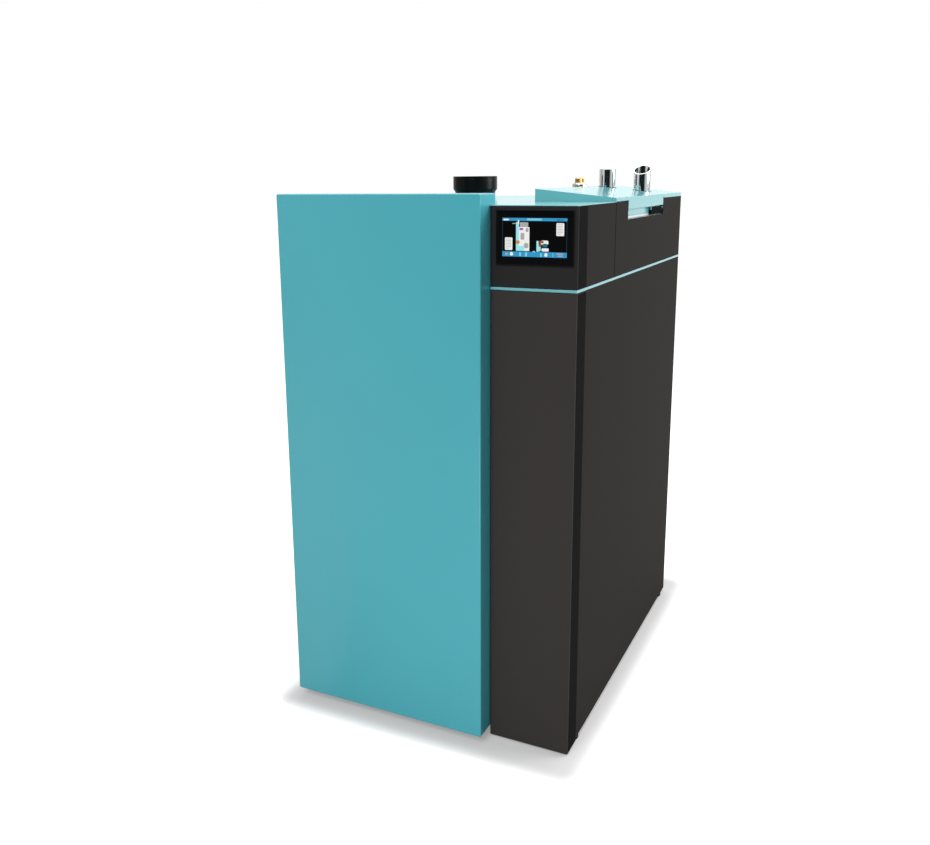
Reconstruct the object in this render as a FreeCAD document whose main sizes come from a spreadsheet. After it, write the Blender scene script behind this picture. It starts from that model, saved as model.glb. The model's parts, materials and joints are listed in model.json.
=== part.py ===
"""Pellet boiler in a sheet-steel cabinet: hopper, feed auger, burner, boiler body and controls, in mm.

Cabinet coordinates: X runs right from the front door's left edge, Y runs back from the door's face,
Z runs up from the floor. Each sub-part is then placed with the origin on the floor under the middle.
"""
import FreeCAD, Part
import os
import re
import Sketcher
from FreeCAD import Placement, Rotation, Vector

os.makedirs("parts", exist_ok=True)
doc = FreeCAD.newDocument("pellet_boiler")
sheet = doc.addObject("Spreadsheet::Sheet", "Sizes")

# ---- driving sizes, one cell each ---------------------------------------------------------------
SIZES = {
    # cabinet
    "case_width": 760, "case_depth": 1090, "rear_reach": 60, "door_width": 550, "door_height": 1344,
    "door_foot": 26, "door_depth": 85, "door_step": 26, "door_clear": 6, "column_gap": 2,
    "column_recess": 54, "corner_return": 65, "steel": 2, "plinth": 12, "cover_foot": 6,
    "trim_low": 1152, "trim_band": 7, "seam_at": 349, "joint_line": 1, "panel_lip": 20,
    "notch_front": 462, "notch_rear": 849, "notch_drop": 48, "frame_low": 60, "frame_tube": 40,
    "foot_radius": 22, "foot_pad": 12, "foot_stem": 8, "post_side": 20,
    "pivot_in": 8, "pivot_radius": 4, "bracket_thick": 4, "hinge_notch": 76, "liner_thick": 25,
    "catch_side": 40,
    # display and controls
    "bezel_wide": 186, "bezel_tall": 124, "bezel_thick": 3, "bezel_margin": 8, "screen_deep": 24,
    "screen_margin": 12, "controller_deep": 210, "switch_wide": 22, "switch_tall": 34,
    "inlet_wide": 70, "inlet_tall": 50, "inlet_thick": 10,
    # lid and hopper
    "lid_rise": 32, "lid_fall": 9, "lid_length": 506, "tongue_drop": 22, "hinge_pin": 3,
    "hinge_barrel": 6, "knuckle_in": 40, "knuckle_long": 60,
    "hopper_side": 12, "hopper_top": 1330, "hopper_rim": 12, "taper_top": 1010,
    "taper_low": 775, "outlet_wide": 70, "outlet_long": 150, "pan_drop": 4,
    "latch_long": 125, "latch_tall": 21, "latch_thick": 7, "latch_pin": 2,
    # feed
    "auger_height": 700, "auger_radius": 42, "tube_wall": 2.5, "shaft_radius": 9, "end_plate": 4,
    "flight_pitch": 60, "flight_thick": 3, "flight_clear": 1.5, "feed_across": 650,
    "hose_length": 90, "hose_lap": 15, "neck_radius": 38, "hose_wall": 3, "gearbox_side": 45,
    "gearbox_long": 60, "gearmotor_radius": 32, "gearmotor_long": 110,
    # burner
    "burner_height": 430, "burner_back": 235, "burner_radius": 62, "burner_wall": 3,
    "burner_length": 160, "port_clear": 8, "port_wall": 12, "flange_half": 90, "flange_thick": 6,
    "bolt_offset": 74, "bolt_radius": 5, "housing_long": 130, "housing_half": 80, "fan_radius": 75,
    "fan_deep": 46, "axle_radius": 5, "blade_wide": 25, "grate_long": 120, "slot_first": 24, "slot_pitch": 18,
    "slot_wide": 6, "slot_half": 22, "view_hole": 28, "grate_drop": 45, "rod_radius": 4,
    "igniter_radius": 6, "igniter_side": 40,
    # boiler body
    "boiler_left": 60, "boiler_right": 500, "boiler_front": 140, "boiler_rear": 1010,
    "boiler_top": 1100, "boiler_wall": 5, "fire_side": 50, "fire_raise": 46, "fire_top": 700,
    "fire_rear": 720, "fire_wall": 6, "tube_radius": 30, "tube_pitch": 90, "tube_row": 400,
    "insulation_thick": 38, "door_split": 309, "door_lap": 10, "fire_door_thick": 24,
    "fire_pivot_in": 12, "fire_barrel": 8, "drawer_long": 500, "smoke_front": 330,
    "grip_half": 60, "grip_reach": 32, "grip_thick": 8, "handle_disc": 14, "handle_reach": 110,
    "handle_half": 9,
    "lift_rod": 8, "actuator_tall": 55, "bar_half": 8, "bend_side": 16, "bend_drop": 45,
    "strip_half": 1.2,
    # flue and water
    "flue_across": 231, "flue_back": 685, "collar_radius": 66, "collar_top": 1409,
    "collar_tall": 40, "flue_neck": 60, "flue_wall": 0.8, "flue_fan_height": 1205,
    "flue_fan_radius": 90, "flue_fan_deep": 110, "flue_axle": 6,
    "socket_radius": 24, "socket_bore": 18, "socket_across": 150, "flow_height": 1000,
    "return_height": 190, "drain_across": 300, "drain_height": 160, "drain_radius": 12,
    "drain_bore": 8, "lever_long": 75,
    "vent_across": 470, "vent_back": 958, "vent_top": 1401, "vent_radius": 24,
    "stub_radius": 25, "stub_wall": 1.5, "stub_top": 1426, "stub_back": 893, "stub_spacing": 106,
    "cyclone_deep": 190, "cyclone_top": 1310, "cyclone_tall": 160,
    "window_half": 40, "window_tall": 70, "turbine_radius": 68,
    "turbine_tall": 130,
    # fits
    "running": 0.05, "slack": 0.3,
}

# ---- places that follow from the driving sizes --------------------------------------------------
RULES = {
    "door_top": "door_foot + door_height", "case_top": "door_top - door_step",
    "panel_top": "case_top - steel", "case_front": "door_depth + door_clear",
    "frame_face": "case_front + steel", "frame_back": "frame_face + steel",
    "column_left": "door_width + column_gap", "corner_back": "column_recess + corner_return",
    "trim_top": "trim_low + trim_band", "back_face": "case_depth - steel",
    "right_face": "case_width - steel", "wall_left": "door_width - steel",
    "rail_top": "frame_low + frame_tube", "pivot_back": "door_depth - pivot_in",
    "lid_front": "seam_at", "lid_rear": "lid_front + lid_length",
    "high_left": "case_top + lid_rise", "high_right": "case_top + lid_fall",
    "notch_floor": "case_top - notch_drop", "tongue_low": "case_top - tongue_drop",
    "lid_pivot": "wall_left - hinge_barrel - 0.5", "lid_pivot_up": "case_top + hinge_barrel + 0.5",
    "bezel_right": "case_width - bezel_margin", "bezel_left": "bezel_right - bezel_wide",
    "bezel_top": "case_top - bezel_margin - steel", "bezel_low": "bezel_top - bezel_tall",
    "hopper_left": "door_width", "hopper_right": "right_face - hopper_side",
    "hopper_front": "lid_front + 6", "hopper_rear": "lid_rear - 2*steel",
    "outlet_left": "feed_across - outlet_wide/2", "outlet_right": "feed_across + outlet_wide/2",
    "outlet_front": "(hopper_front + hopper_rear)/2 - outlet_long/2",
    "outlet_rear": "outlet_front + outlet_long", "auger_bore": "auger_radius - tube_wall",
    "auger_front": "burner_back - auger_radius", "auger_rear": "outlet_rear + 50",
    "inlet_top": "auger_height + auger_radius + 6", "hose_top": "auger_height - auger_radius - 10",
    "hose_low": "hose_top - hose_length", "latch_rear": "notch_rear - 10",
    "latch_front": "latch_rear - latch_long", "latch_back": "hopper_right + 3*steel",
    "latch_pivot": "latch_back + latch_thick/2", "latch_top": "tongue_low - 3",
    "latch_pivot_up": "latch_top - 3",
    "boiler_low": "rail_top", "fire_left": "boiler_left + fire_side",
    "fire_right": "boiler_right - fire_side - 10", "fire_low": "boiler_low + fire_raise",
    "door_left": "fire_left - door_lap", "door_right": "fire_right + door_lap",
    "fire_door_front": "boiler_front - slack - fire_door_thick",
    "fire_pivot": "door_left - fire_pivot_in", "fire_pivot_back": "boiler_front - fire_barrel - 6",
    "port_radius": "burner_radius + port_clear", "port_outer": "port_radius + port_wall",
    "port_end": "column_left + 6", "burner_face": "port_end + flange_thick",
    "burner_tip": "port_end - burner_length", "housing_end": "burner_face + housing_long",
    "fan_end": "housing_end + fan_deep", "burner_bore": "burner_radius - burner_wall",
    "tube_first": "(fire_left + fire_right)/2 - tube_pitch", "tube_bore": "tube_radius - 3",
    "smoke_top": "flue_fan_height + 75", "smoke_rear": "flue_back - flue_fan_deep/2",
    "flue_fan_rear": "smoke_rear + flue_fan_deep", "lift_across": "tube_first + tube_pitch",
    "lift_back": "tube_row + tube_pitch", "lift_low": "boiler_top + 12",
    "collar_low": "collar_top - collar_tall", "neck_top": "panel_top - steel",
    "stub_left": "door_width + stub_radius + 3", "stub_right": "stub_left + stub_spacing",
    "cyclone_rear": "hopper_rear + cyclone_deep", "lever_up": "drain_height + 16",
    "inlet_left": "case_width - 140", "inlet_low": "320", "rear_end": "case_depth + rear_reach",
    "x_origin": "0 - case_width/2", "y_origin": "0 - (case_depth + rear_reach)/2",
}
WORD = r"[a-z][a-z_]*"
for row, (name, number) in enumerate(SIZES.items(), start=1):
    sheet.set(f"A{row}", name)
    sheet.set(f"B{row}", str(number))
    sheet.setAlias(f"B{row}", name)
sheet.recompute()


def bound(formula):
    """The formula as an expression on the sheet's cells, with every rule spelled out."""
    text = str(formula)
    while any(word in RULES for word in re.findall(WORD, text)):
        text = re.sub(WORD, lambda word: f"({RULES[word[0]]})" if word[0] in RULES else word[0], text)
    return re.sub(WORD, lambda word: f"Sizes.{word[0]}" if word[0] in SIZES else word[0], text)


def value(formula):
    """What the formula comes to now."""
    return float(sheet.evalExpression(bound(formula)))


# ---- building blocks ----------------------------------------------------------------------------
BASES = {}       # where each object's own origin lies, in cabinet coordinates
SUBPARTS = []    # the finished sub-parts, in order
AXES = {"x": Rotation(Vector(0, 1, 0), 90), "y": Rotation(Vector(1, 0, 0), -90), "z": Rotation()}
BLADES = 16      # blades on a fan wheel
PLANES = {"XY": ("XY_Plane", 1), "XZ": ("XZ_Plane", -1), "YZ": ("YZ_Plane", 1)}


def move(thing, base):
    """Bind where the object's own origin lies."""
    BASES[thing.Name] = base
    for axis, formula in zip("xyz", base):
        thing.setExpression(f"Placement.Base.{axis}", bound(formula))


def keep(label, thing):
    """Name a finished sub-part and shift it from cabinet coordinates to the origin's."""
    thing.Label = label
    x, y, z = BASES.get(thing.Name, ("0", "0", "0"))
    move(thing, (f"x_origin + {x}", f"y_origin + {y}", z))
    SUBPARTS.append(thing)
    return thing


def box(x, y, z):
    """A block between a low and a high formula on each axis."""
    block = doc.addObject("Part::Box", "Block")
    for size, (low, high) in zip(("Length", "Width", "Height"), (x, y, z)):
        block.setExpression(size, bound(f"({high}) - ({low})"))
    move(block, (x[0], y[0], z[0]))
    return block


def rod(axis, centre, radius, span):
    """A round bar along an axis; centre gives its other two coordinates in x, y, z order."""
    bar = doc.addObject("Part::Cylinder", "Bar")
    bar.Placement = Placement(Vector(), AXES[axis])
    bar.setExpression("Radius", bound(radius))
    bar.setExpression("Height", bound(f"({span[1]}) - ({span[0]})"))
    base = list(centre)
    base.insert("xyz".index(axis), span[0])
    move(bar, base)
    return bar


def fuse(*parts):
    """All the parts as one solid, or as a group where they don't touch."""
    if len(parts) == 1:
        return parts[0]
    joined = doc.addObject("Part::MultiFuse", "Joined")
    joined.Shapes = list(parts)
    return joined


def cut(base, *tools):
    """The base with every tool taken away."""
    hollowed = doc.addObject("Part::Cut", "Hollowed")
    hollowed.Base = base
    hollowed.Tool = fuse(*tools)
    return hollowed


def group(*parts):
    """The parts side by side: plates welded along their edges stay a solid each."""
    welded = doc.addObject("Part::Compound", "Welded")
    welded.Links = list(parts)
    return welded


def tube(axis, centre, radius, bore, span):
    """A round pipe."""
    return cut(rod(axis, centre, radius, span), rod(axis, centre, bore, span))


def around(centre, half):
    """The low and high formula of a span about its centre."""
    return f"{centre} - ({half})", f"{centre} + {half}"


def rectangle(u, v):
    """The four corners of an upright rectangle."""
    return [(u[0], v[0]), (u[1], v[0]), (u[1], v[1]), (u[0], v[1])]


def new_body(base=("0", "0", "0"), axis="z"):
    """A body whose own origin lies at base, with its Z along axis."""
    body = doc.addObject("PartDesign::Body", "Body")
    body.Placement = Placement(Vector(), AXES[axis])
    move(body, base)
    return body


def sketch(body, plane, at, loops):
    """A sketch at a height over one of the body's planes. A loop is corners or (u, v, radius)."""
    role, sign = PLANES[plane]
    drawing = body.newObject("Sketcher::SketchObject", "Sketch")
    support = next(f for f in body.Origin.OriginFeatures if f.Role == role)
    drawing.AttachmentSupport = [(support, "")]
    drawing.MapMode = "FlatFace"
    drawing.setExpression("AttachmentOffset.Base.z", bound(f"{sign}*({at})"))

    def pin(kind, geometry, point, formula):
        place = [geometry] if point is None else [geometry, point]
        index = drawing.addConstraint(Sketcher.Constraint(kind, *place, value(formula)))
        drawing.setExpression(f"Constraints[{index}]", bound(formula))

    for loop in loops:
        if isinstance(loop, tuple):
            u, v, radius = loop
            middle = Vector(value(u), value(v), 0)
            ring = drawing.addGeometry(Part.Circle(middle, Vector(0, 0, 1), value(radius)), False)
            pin("DistanceX", ring, 3, u)
            pin("DistanceY", ring, 3, v)
            pin("Radius", ring, None, radius)
            continue
        corners = [Vector(value(u), value(v), 0) for u, v in loop]
        lines = [drawing.addGeometry(Part.LineSegment(corners[i - 1], corners[i]), False)
                 for i in range(len(corners))]
        for i, line in enumerate(lines):
            after = lines[(i + 1) % len(lines)]
            drawing.addConstraint(Sketcher.Constraint("Coincident", line, 2, after, 1))
            pin("DistanceX", line, 2, loop[i][0])
            pin("DistanceY", line, 2, loop[i][1])
    return drawing


def pad(body, plane, loops, span):
    """Add the loops' area from a low to a high formula over the plane."""
    feature = body.newObject("PartDesign::Pad", "Pad")
    feature.Profile = sketch(body, plane, span[0], loops)
    feature.setExpression("Length", bound(f"({span[1]}) - ({span[0]})"))
    feature.Reversed = plane == "XZ"
    return feature


def pocket(body, plane, loops, span):
    """Take the loops' area away from a low to a high formula over the plane."""
    feature = body.newObject("PartDesign::Pocket", "Pocket")
    feature.Profile = sketch(body, plane, span[0], loops)
    feature.setExpression("Length", bound(f"({span[1]}) - ({span[0]})"))
    feature.Reversed = plane != "XZ"
    return feature


def turned(label, base, profile, axis="z"):
    """A piece turned on a lathe: profile gives (radius, height) corners about the body's Z."""
    body = new_body(base, axis)
    feature = body.newObject("PartDesign::Revolution", "Revolution")
    feature.Profile = sketch(body, "XZ", "0", [profile])
    feature.ReferenceAxis = (feature.Profile[0], ["V_Axis"])
    feature.Angle = 360
    return keep(label, body)


def loft(body, kind, sections):
    """Join rectangles at two heights by straight faces, added or taken away."""
    feature = body.newObject(f"PartDesign::{kind}", kind)
    drawings = [sketch(body, "XY", at, [loop]) for at, loop in sections]
    feature.Profile = drawings[0]
    feature.Sections = drawings[1:]
    feature.Ruled = True


def impeller(label, base, axis, radius, deep, axle, reach):
    """A radial fan wheel: back plate, hub with its axle, and blades set round by a pattern."""
    body = new_body(base, axis)
    pad(body, "XY", [("0", "0", radius)], ("0", "steel"))
    pad(body, "XY", [("0", "0", f"2*({axle})")], ("0", deep))
    pad(body, "XY", [("0", "0", axle)], reach)
    blade_span = (f"{radius} - blade_wide", f"{radius} - 1")
    blade = pad(body, "XY", [rectangle(blade_span, ("-1", "1"))], ("steel", deep))
    ring = body.newObject("PartDesign::PolarPattern", "PolarPattern")
    ring.Originals = [blade]
    ring.Axis = (blade.Profile[0], ["N_Axis"])
    ring.Angle = 360
    ring.Occurrences = BLADES
    body.Tip = ring
    return keep(label, body)


# ---- base frame and feet ------------------------------------------------------------------------
rails_up = ("frame_low", "rail_top")
rails = [box(("steel", "steel + frame_tube"), ("frame_back", "back_face"), rails_up),
         box(("right_face - frame_tube", "right_face"), ("corner_back + steel", "back_face"), rails_up)]
for cross in ("boiler_front + 20", "boiler_rear - 60"):
    rails.append(box(("steel", "right_face"), (cross, f"{cross} + frame_tube"), rails_up))
post = box(("right_face - post_side", "right_face"),
           ("corner_back + steel", "corner_back + steel + post_side"), ("rail_top", "trim_low"))
keep("base_frame", fuse(*rails, post))

feet = []
for across in ("foot_radius", "case_width - foot_radius"):
    for back in ("corner_back + foot_radius", "case_depth - 2*foot_radius"):
        feet.append(rod("z", (across, back), "foot_radius", ("0", "foot_pad")))
        feet.append(rod("z", (across, back), "foot_stem", ("foot_pad", "frame_low")))
keep("levelling_feet", fuse(*feet))

# ---- cabinet panels -----------------------------------------------------------------------------
left_panel = new_body()
pad(left_panel, "XY", [[("0", "case_front"), ("panel_lip", "case_front"), ("panel_lip", "frame_face"),
                        ("steel", "frame_face"), ("steel", "back_face"), ("0", "back_face")]],
    ("plinth", "panel_top"))
keep("left_side_panel", left_panel)


def right_panel(label, front, rear, low, high):
    """A flat side panel on the right with a lip turned in along its front edge."""
    body = new_body()
    pad(body, "XY", [[("case_width", front), ("case_width", rear), ("right_face", rear),
                      ("right_face", f"{front} + steel"), ("case_width - panel_lip", f"{front} + steel"),
                      ("case_width - panel_lip", front)]], (low, high))
    return keep(label, body)


right_panel("lower_side_panel", "corner_back", "back_face", "plinth", "trim_low")
right_panel("head_side_panel", "corner_back", "seam_at - joint_line", "trim_top", "panel_top")
upper_panel = new_body()
pad(upper_panel, "YZ", [[("seam_at", "trim_top"), ("back_face", "trim_top"), ("back_face", "panel_top"),
                         ("notch_rear", "panel_top"), ("notch_rear", "notch_floor"),
                         ("notch_front", "notch_floor"), ("notch_front", "panel_top"),
                         ("seam_at", "panel_top")]], ("right_face", "case_width"))
keep("upper_side_panel", upper_panel)

column_wrap = [("column_left", "column_recess"), ("case_width", "column_recess"),
               ("case_width", "corner_back"), ("right_face", "corner_back"),
               ("right_face", "column_recess + steel"), ("column_left + steel", "column_recess + steel"),
               ("column_left + steel", "case_front"), ("column_left", "case_front")]
service_cover = new_body()
pad(service_cover, "XY", [column_wrap], ("cover_foot", "trim_low - joint_line"))
keep("service_cover", service_cover)

screen_x = ("bezel_left + screen_margin", "bezel_right - screen_margin")
screen_z = ("bezel_low + screen_margin", "bezel_top - screen_margin")
head_front = new_body()
pad(head_front, "XY", [column_wrap], ("trim_top", "panel_top"))
pocket(head_front, "XZ", [rectangle((f"{screen_x[0]} - slack", f"{screen_x[1]} + slack"),
                                    (f"{screen_z[0]} - slack", f"{screen_z[1]} + slack"))],
       ("column_recess - 1", "column_recess + steel + 1"))
keep("head_front", head_front)

trim = new_body()
pad(trim, "XY", [[("column_left", "column_recess"), ("case_width", "column_recess"),
                  ("case_width", "back_face"), ("right_face", "back_face"),
                  ("right_face", "column_recess + steel"), ("column_left", "column_recess + steel")]],
    ("trim_low", "trim_top"))
keep("trim_band", trim)

back_panel = new_body()
pipe_holes = [("socket_across", "flow_height", "socket_radius + 2"),
              ("socket_across", "return_height", "socket_radius + 2"),
              ("drain_across", "drain_height", "drain_radius + 2")]
pad(back_panel, "XZ", [rectangle(("0", "case_width"), ("plinth", "panel_top"))] + pipe_holes,
    ("back_face", "case_depth"))
keep("back_panel", back_panel)

top_cover = new_body()
pad(top_cover, "XY", [rectangle(("0", "wall_left"), ("case_front", "case_depth")),
                      ("flue_across", "flue_back", "flue_neck + 2"),
                      ("vent_across", "vent_back", "drain_radius")], ("panel_top", "case_top"))
keep("top_cover", top_cover)
keep("head_top_cover", box(("door_width", "case_width"), ("column_recess", "lid_front"),
                           ("panel_top", "case_top")))

partition = new_body()
pad(partition, "YZ", [rectangle(("frame_back", "back_face"), ("rail_top", "panel_top")),
                      ("burner_back", "burner_height", "port_outer + 4")], ("wall_left", "door_width"))
keep("partition_panel", partition)

front_frame = new_body()
pad(front_frame, "XZ", [rectangle(("steel", "wall_left"), ("door_foot + steel", "panel_top")),
                        rectangle(("fire_pivot - 30", "door_right + 30"),
                                  ("fire_low - 20", "fire_top + 40"))], ("frame_face", "frame_back"))
keep("front_frame", front_frame)

# ---- front door ---------------------------------------------------------------------------------
front_door = new_body()
pad(front_door, "XZ", [rectangle(("0", "door_width"), ("door_foot", "door_top"))], ("0", "door_depth"))
pocket(front_door, "XZ", [rectangle(("steel", "wall_left"), ("door_foot + steel", "door_top - steel"))],
       ("steel", "door_depth + 1"))
for low, high in (("door_top - hinge_notch", "door_top - steel"),
                  ("door_foot + steel", "door_foot + hinge_notch")):
    pocket(front_door, "YZ", [rectangle(("pivot_back - 25", "door_depth + 1"), (low, high))],
           ("-1", "steel + 1"))
pocket(front_door, "XY", [("pivot_in", "pivot_back", "pivot_radius + running")],
       ("door_foot - 1", "door_top + 1"))
keep("front_door", front_door)
keep("front_door_liner", box(("20", "door_width - 20"), ("steel", "steel + liner_thick"),
                             ("door_foot + 34", "door_top - 34")))

bracket_x = ("steel + slack", "pivot_in + 20")
brackets = []
for shelf, leg, pin in ((("door_top - 22", "door_top - 22 + bracket_thick"),
                         ("door_top - hinge_notch + 6", "door_top - 20"), ("door_top - 22", "door_top")),
                        (("door_foot + 22 - bracket_thick", "door_foot + 22"),
                         ("door_foot + 20", "door_foot + hinge_notch - 6"),
                         ("door_foot", "door_foot + 22"))):
    brackets.append(box(bracket_x, ("pivot_back - 8", "case_front"), shelf))
    brackets.append(box(bracket_x, ("case_front - 2.5", "case_front"), leg))
    brackets.append(rod("z", ("pivot_in", "pivot_back"), "pivot_radius", pin))
keep("door_hinges", fuse(*brackets))
keep("door_catch", box(("wall_left - 10 - catch_side", "wall_left - 10"), ("frame_face - 32", "frame_face"),
                       ("case_top/2", "case_top/2 + 2*catch_side")))

# ---- display and controller ---------------------------------------------------------------------
keep("touch_display", fuse(
    box(("bezel_left", "bezel_right"), ("column_recess - bezel_thick", "column_recess"),
        ("bezel_low", "bezel_top")),
    box(screen_x, ("column_recess", "column_recess + screen_deep"), screen_z)))
keep("controller_box", box(("door_width", "case_width - 30"),
                           ("corner_back", "corner_back + controller_deep"),
                           ("trim_top + 20", "panel_top - 20")))

# ---- lid, hinge, latch --------------------------------------------------------------------------
def wedge(low, inset):
    """The lid's cross-section from the front, moved in by inset on the sides and the top."""
    return [(f"wall_left + {inset}", low), (f"case_width - {inset}", low),
            (f"case_width - {inset}", f"high_right - {inset}"),
            (f"wall_left + {inset}", f"high_left - {inset}")]


lid_knuckles = (("lid_front + knuckle_in", "lid_front + knuckle_in + knuckle_long"),
                around("lid_front + lid_length/2", "knuckle_long/2"),
                ("lid_rear - knuckle_in - knuckle_long", "lid_rear - knuckle_in"))
lid = new_body()
pad(lid, "XZ", [wedge("case_top", "0")], ("lid_front", "lid_rear"))
pocket(lid, "XZ", [wedge("case_top - 1", "steel")], ("lid_front + steel", "lid_rear - steel"))
pad(lid, "YZ", [rectangle(("notch_front + steel", "notch_rear - steel"), ("tongue_low", "case_top + steel"))],
    ("right_face", "case_width"))
for knuckle in lid_knuckles:
    pad(lid, "XZ", [rectangle(("lid_pivot", "wall_left + steel"),
                              ("lid_pivot_up + hinge_barrel/2", "lid_pivot_up + hinge_barrel"))], knuckle)
    pad(lid, "XZ", [("lid_pivot", "lid_pivot_up", "hinge_barrel")], knuckle)
pocket(lid, "XZ", [("lid_pivot", "lid_pivot_up", "hinge_pin + running")],
       ("lid_front + knuckle_in - 1", "lid_rear - knuckle_in + 1"))

hinge_parts = []
for low, high in ((f"{lid_knuckles[0][1]} + 0.5", f"{lid_knuckles[0][1]} + 50"),
                  (f"{lid_knuckles[2][0]} - 50", f"{lid_knuckles[2][0]} - 0.5")):
    hinge_parts.append(cut(fuse(rod("y", ("lid_pivot", "lid_pivot_up"), "hinge_barrel", (low, high)),
                                box(("lid_pivot - 22", "lid_pivot"), (low, high),
                                    ("case_top", "case_top + 3"))),
                           rod("y", ("lid_pivot", "lid_pivot_up"), "hinge_pin + running", (low, high))))
hinge_parts.append(rod("y", ("lid_pivot", "lid_pivot_up"), "hinge_pin",
                       ("lid_front + knuckle_in - 2", "lid_rear - knuckle_in + 2")))
keep("lid_hinge", fuse(*hinge_parts))

slope = "(lid_rise - lid_fall)/(case_width - wall_left)"
pan_left, pan_right, pan_low = "hopper_left + steel", "hopper_right + steel", "case_top - pan_drop"


def under_lid(across):
    """Just under the lid's sloping plate at a place across it."""
    return f"high_left - steel - slack - ({across} - wall_left)*{slope} - 0.3"


lid_pan = new_body()
pan_inner, pan_outer = f"{pan_left} + steel", f"{pan_right} - steel"
pad(lid_pan, "XZ", [[(pan_left, pan_low), (pan_right, pan_low), (pan_right, under_lid(pan_right)),
                     (pan_outer, under_lid(pan_right)), (pan_outer, f"{pan_low} + steel"),
                     (pan_inner, f"{pan_low} + steel"), (pan_inner, under_lid(pan_inner)),
                     (pan_left, under_lid(pan_inner))]],
    ("lid_front + 2*steel", "lid_rear - 2*steel"))
keep("hopper_lid", fuse(lid, lid_pan))

ledge_x = ("hopper_right + steel", "hopper_right + 2*steel")
ledge = new_body()
pad(ledge, "XZ", [[(ledge_x[0], "notch_floor - steel"), ("right_face", "notch_floor - steel"),
                   ("right_face", "notch_floor"), (ledge_x[1], "notch_floor"), (ledge_x[1], "tongue_low - 1"),
                   (ledge_x[0], "tongue_low - 1")]], ("notch_front - 10", "notch_rear + 10"))
for low, high in (("latch_front - 6", "latch_front - 1"), ("latch_rear + 1", "latch_rear + 6")):
    pad(ledge, "XZ", [rectangle((ledge_x[0], "latch_pivot + 3"),
                                ("latch_pivot_up - 4", "latch_pivot_up + 3"))], (low, high))
pocket(ledge, "XZ", [("latch_pivot", "latch_pivot_up", "latch_pin + running")],
       ("latch_front - 7", "latch_rear + 7"))
keep("grip_ledge", ledge)
keep("lid_latch", fuse(box(("latch_back", "latch_back + latch_thick"), ("latch_front", "latch_rear"),
                           ("latch_top - latch_tall", "latch_top")),
                       rod("y", ("latch_pivot", "latch_pivot_up"), "latch_pin",
                           ("latch_front - 6", "latch_rear + 6"))))

# ---- hopper -------------------------------------------------------------------------------------
def hopper_section(inset):
    return rectangle((f"hopper_left + {inset}", f"hopper_right - {inset}"),
                     (f"hopper_front + {inset}", f"hopper_rear - {inset}"))


def outlet_section(inset):
    return rectangle((f"outlet_left + {inset}", f"outlet_right - {inset}"),
                     (f"outlet_front + {inset}", f"outlet_rear - {inset}"))


hopper = new_body()
pad(hopper, "XY", [hopper_section("0")], ("taper_top", "hopper_top"))
loft(hopper, "AdditiveLoft", [("taper_top", hopper_section("0")), ("taper_low", outlet_section("0"))])
pad(hopper, "XY", [outlet_section("0")], ("inlet_top", "taper_low"))
pocket(hopper, "XY", [hopper_section("steel")], ("taper_top", "hopper_top - steel"))
pocket(hopper, "XY", [hopper_section("hopper_rim")], ("hopper_top - steel - 1", "hopper_top + 1"))
loft(hopper, "SubtractiveLoft", [("taper_top", hopper_section("steel")),
                                 ("taper_low", outlet_section("steel"))])
pocket(hopper, "XY", [outlet_section("steel")], ("inlet_top - 1", "taper_low"))
drop_x = around("feed_across", "window_half")
drop_z = ("cyclone_top - 30 - window_tall", "cyclone_top - 30")
pocket(hopper, "XZ", [rectangle(drop_x, drop_z)], ("hopper_rear - steel - 1", "hopper_rear + 1"))
keep("hopper", hopper)

seal = new_body()
pad(seal, "XY", [hopper_section("0"), hopper_section("hopper_rim")], ("hopper_top", f"{pan_low} - slack"))
keep("lid_seal", seal)

rear_cover = new_body()
pad(rear_cover, "XZ", [wedge("panel_top", "0")], ("lid_rear + steel", "case_depth"))
pocket(rear_cover, "XZ", [wedge("panel_top - 1", "steel")], ("lid_rear + 2*steel", "back_face"))
pocket(rear_cover, "XY", [(across, "stub_back", "stub_radius + 1") for across in ("stub_left", "stub_right")],
       ("case_top - 10", "high_left + 10"))
keep("hopper_rear_cover", rear_cover)

# ---- pellet suction -----------------------------------------------------------------------------
stub_spots = (("stub_left", "stub_back"), ("stub_right", "stub_back"))
keep("cyclone", cut(
    box(("hopper_left", "hopper_right"), ("hopper_rear", "cyclone_rear"),
        ("cyclone_top - cyclone_tall", "cyclone_top")),
    box(("hopper_left + steel", "hopper_right - steel"), ("hopper_rear + steel", "cyclone_rear - steel"),
        ("cyclone_top - cyclone_tall + steel", "cyclone_top - steel")),
    box(drop_x, ("hopper_rear - 1", "hopper_rear + steel + 1"), drop_z),
    *[rod("z", spot, "stub_radius - stub_wall", ("cyclone_top - steel - 1", "cyclone_top + 1"))
      for spot in stub_spots]))
keep("suction_turbine", rod("z", ("(hopper_left + hopper_right)/2", "hopper_rear + cyclone_deep/2"),
                            "turbine_radius", ("cyclone_top - cyclone_tall - turbine_tall",
                                               "cyclone_top - cyclone_tall")))
keep("suction_stub", tube("z", ("stub_left", "stub_back"), "stub_radius", "stub_radius - stub_wall",
                          ("cyclone_top", "stub_top")))
mitred = new_body()
pad(mitred, "XY", [("stub_right", "stub_back", "stub_radius"),
                   ("stub_right", "stub_back", "stub_radius - stub_wall")], ("cyclone_top", "stub_top + 10"))
pocket(mitred, "YZ", [[("stub_back - stub_radius - 1", "stub_top - 16"),
                       ("stub_back + stub_radius", "stub_top + 11"),
                       ("stub_back - stub_radius - 1", "stub_top + 11")]],
       ("stub_right - stub_radius - 1", "stub_right + stub_radius + 1"))
keep("return_air_stub", mitred)

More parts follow.
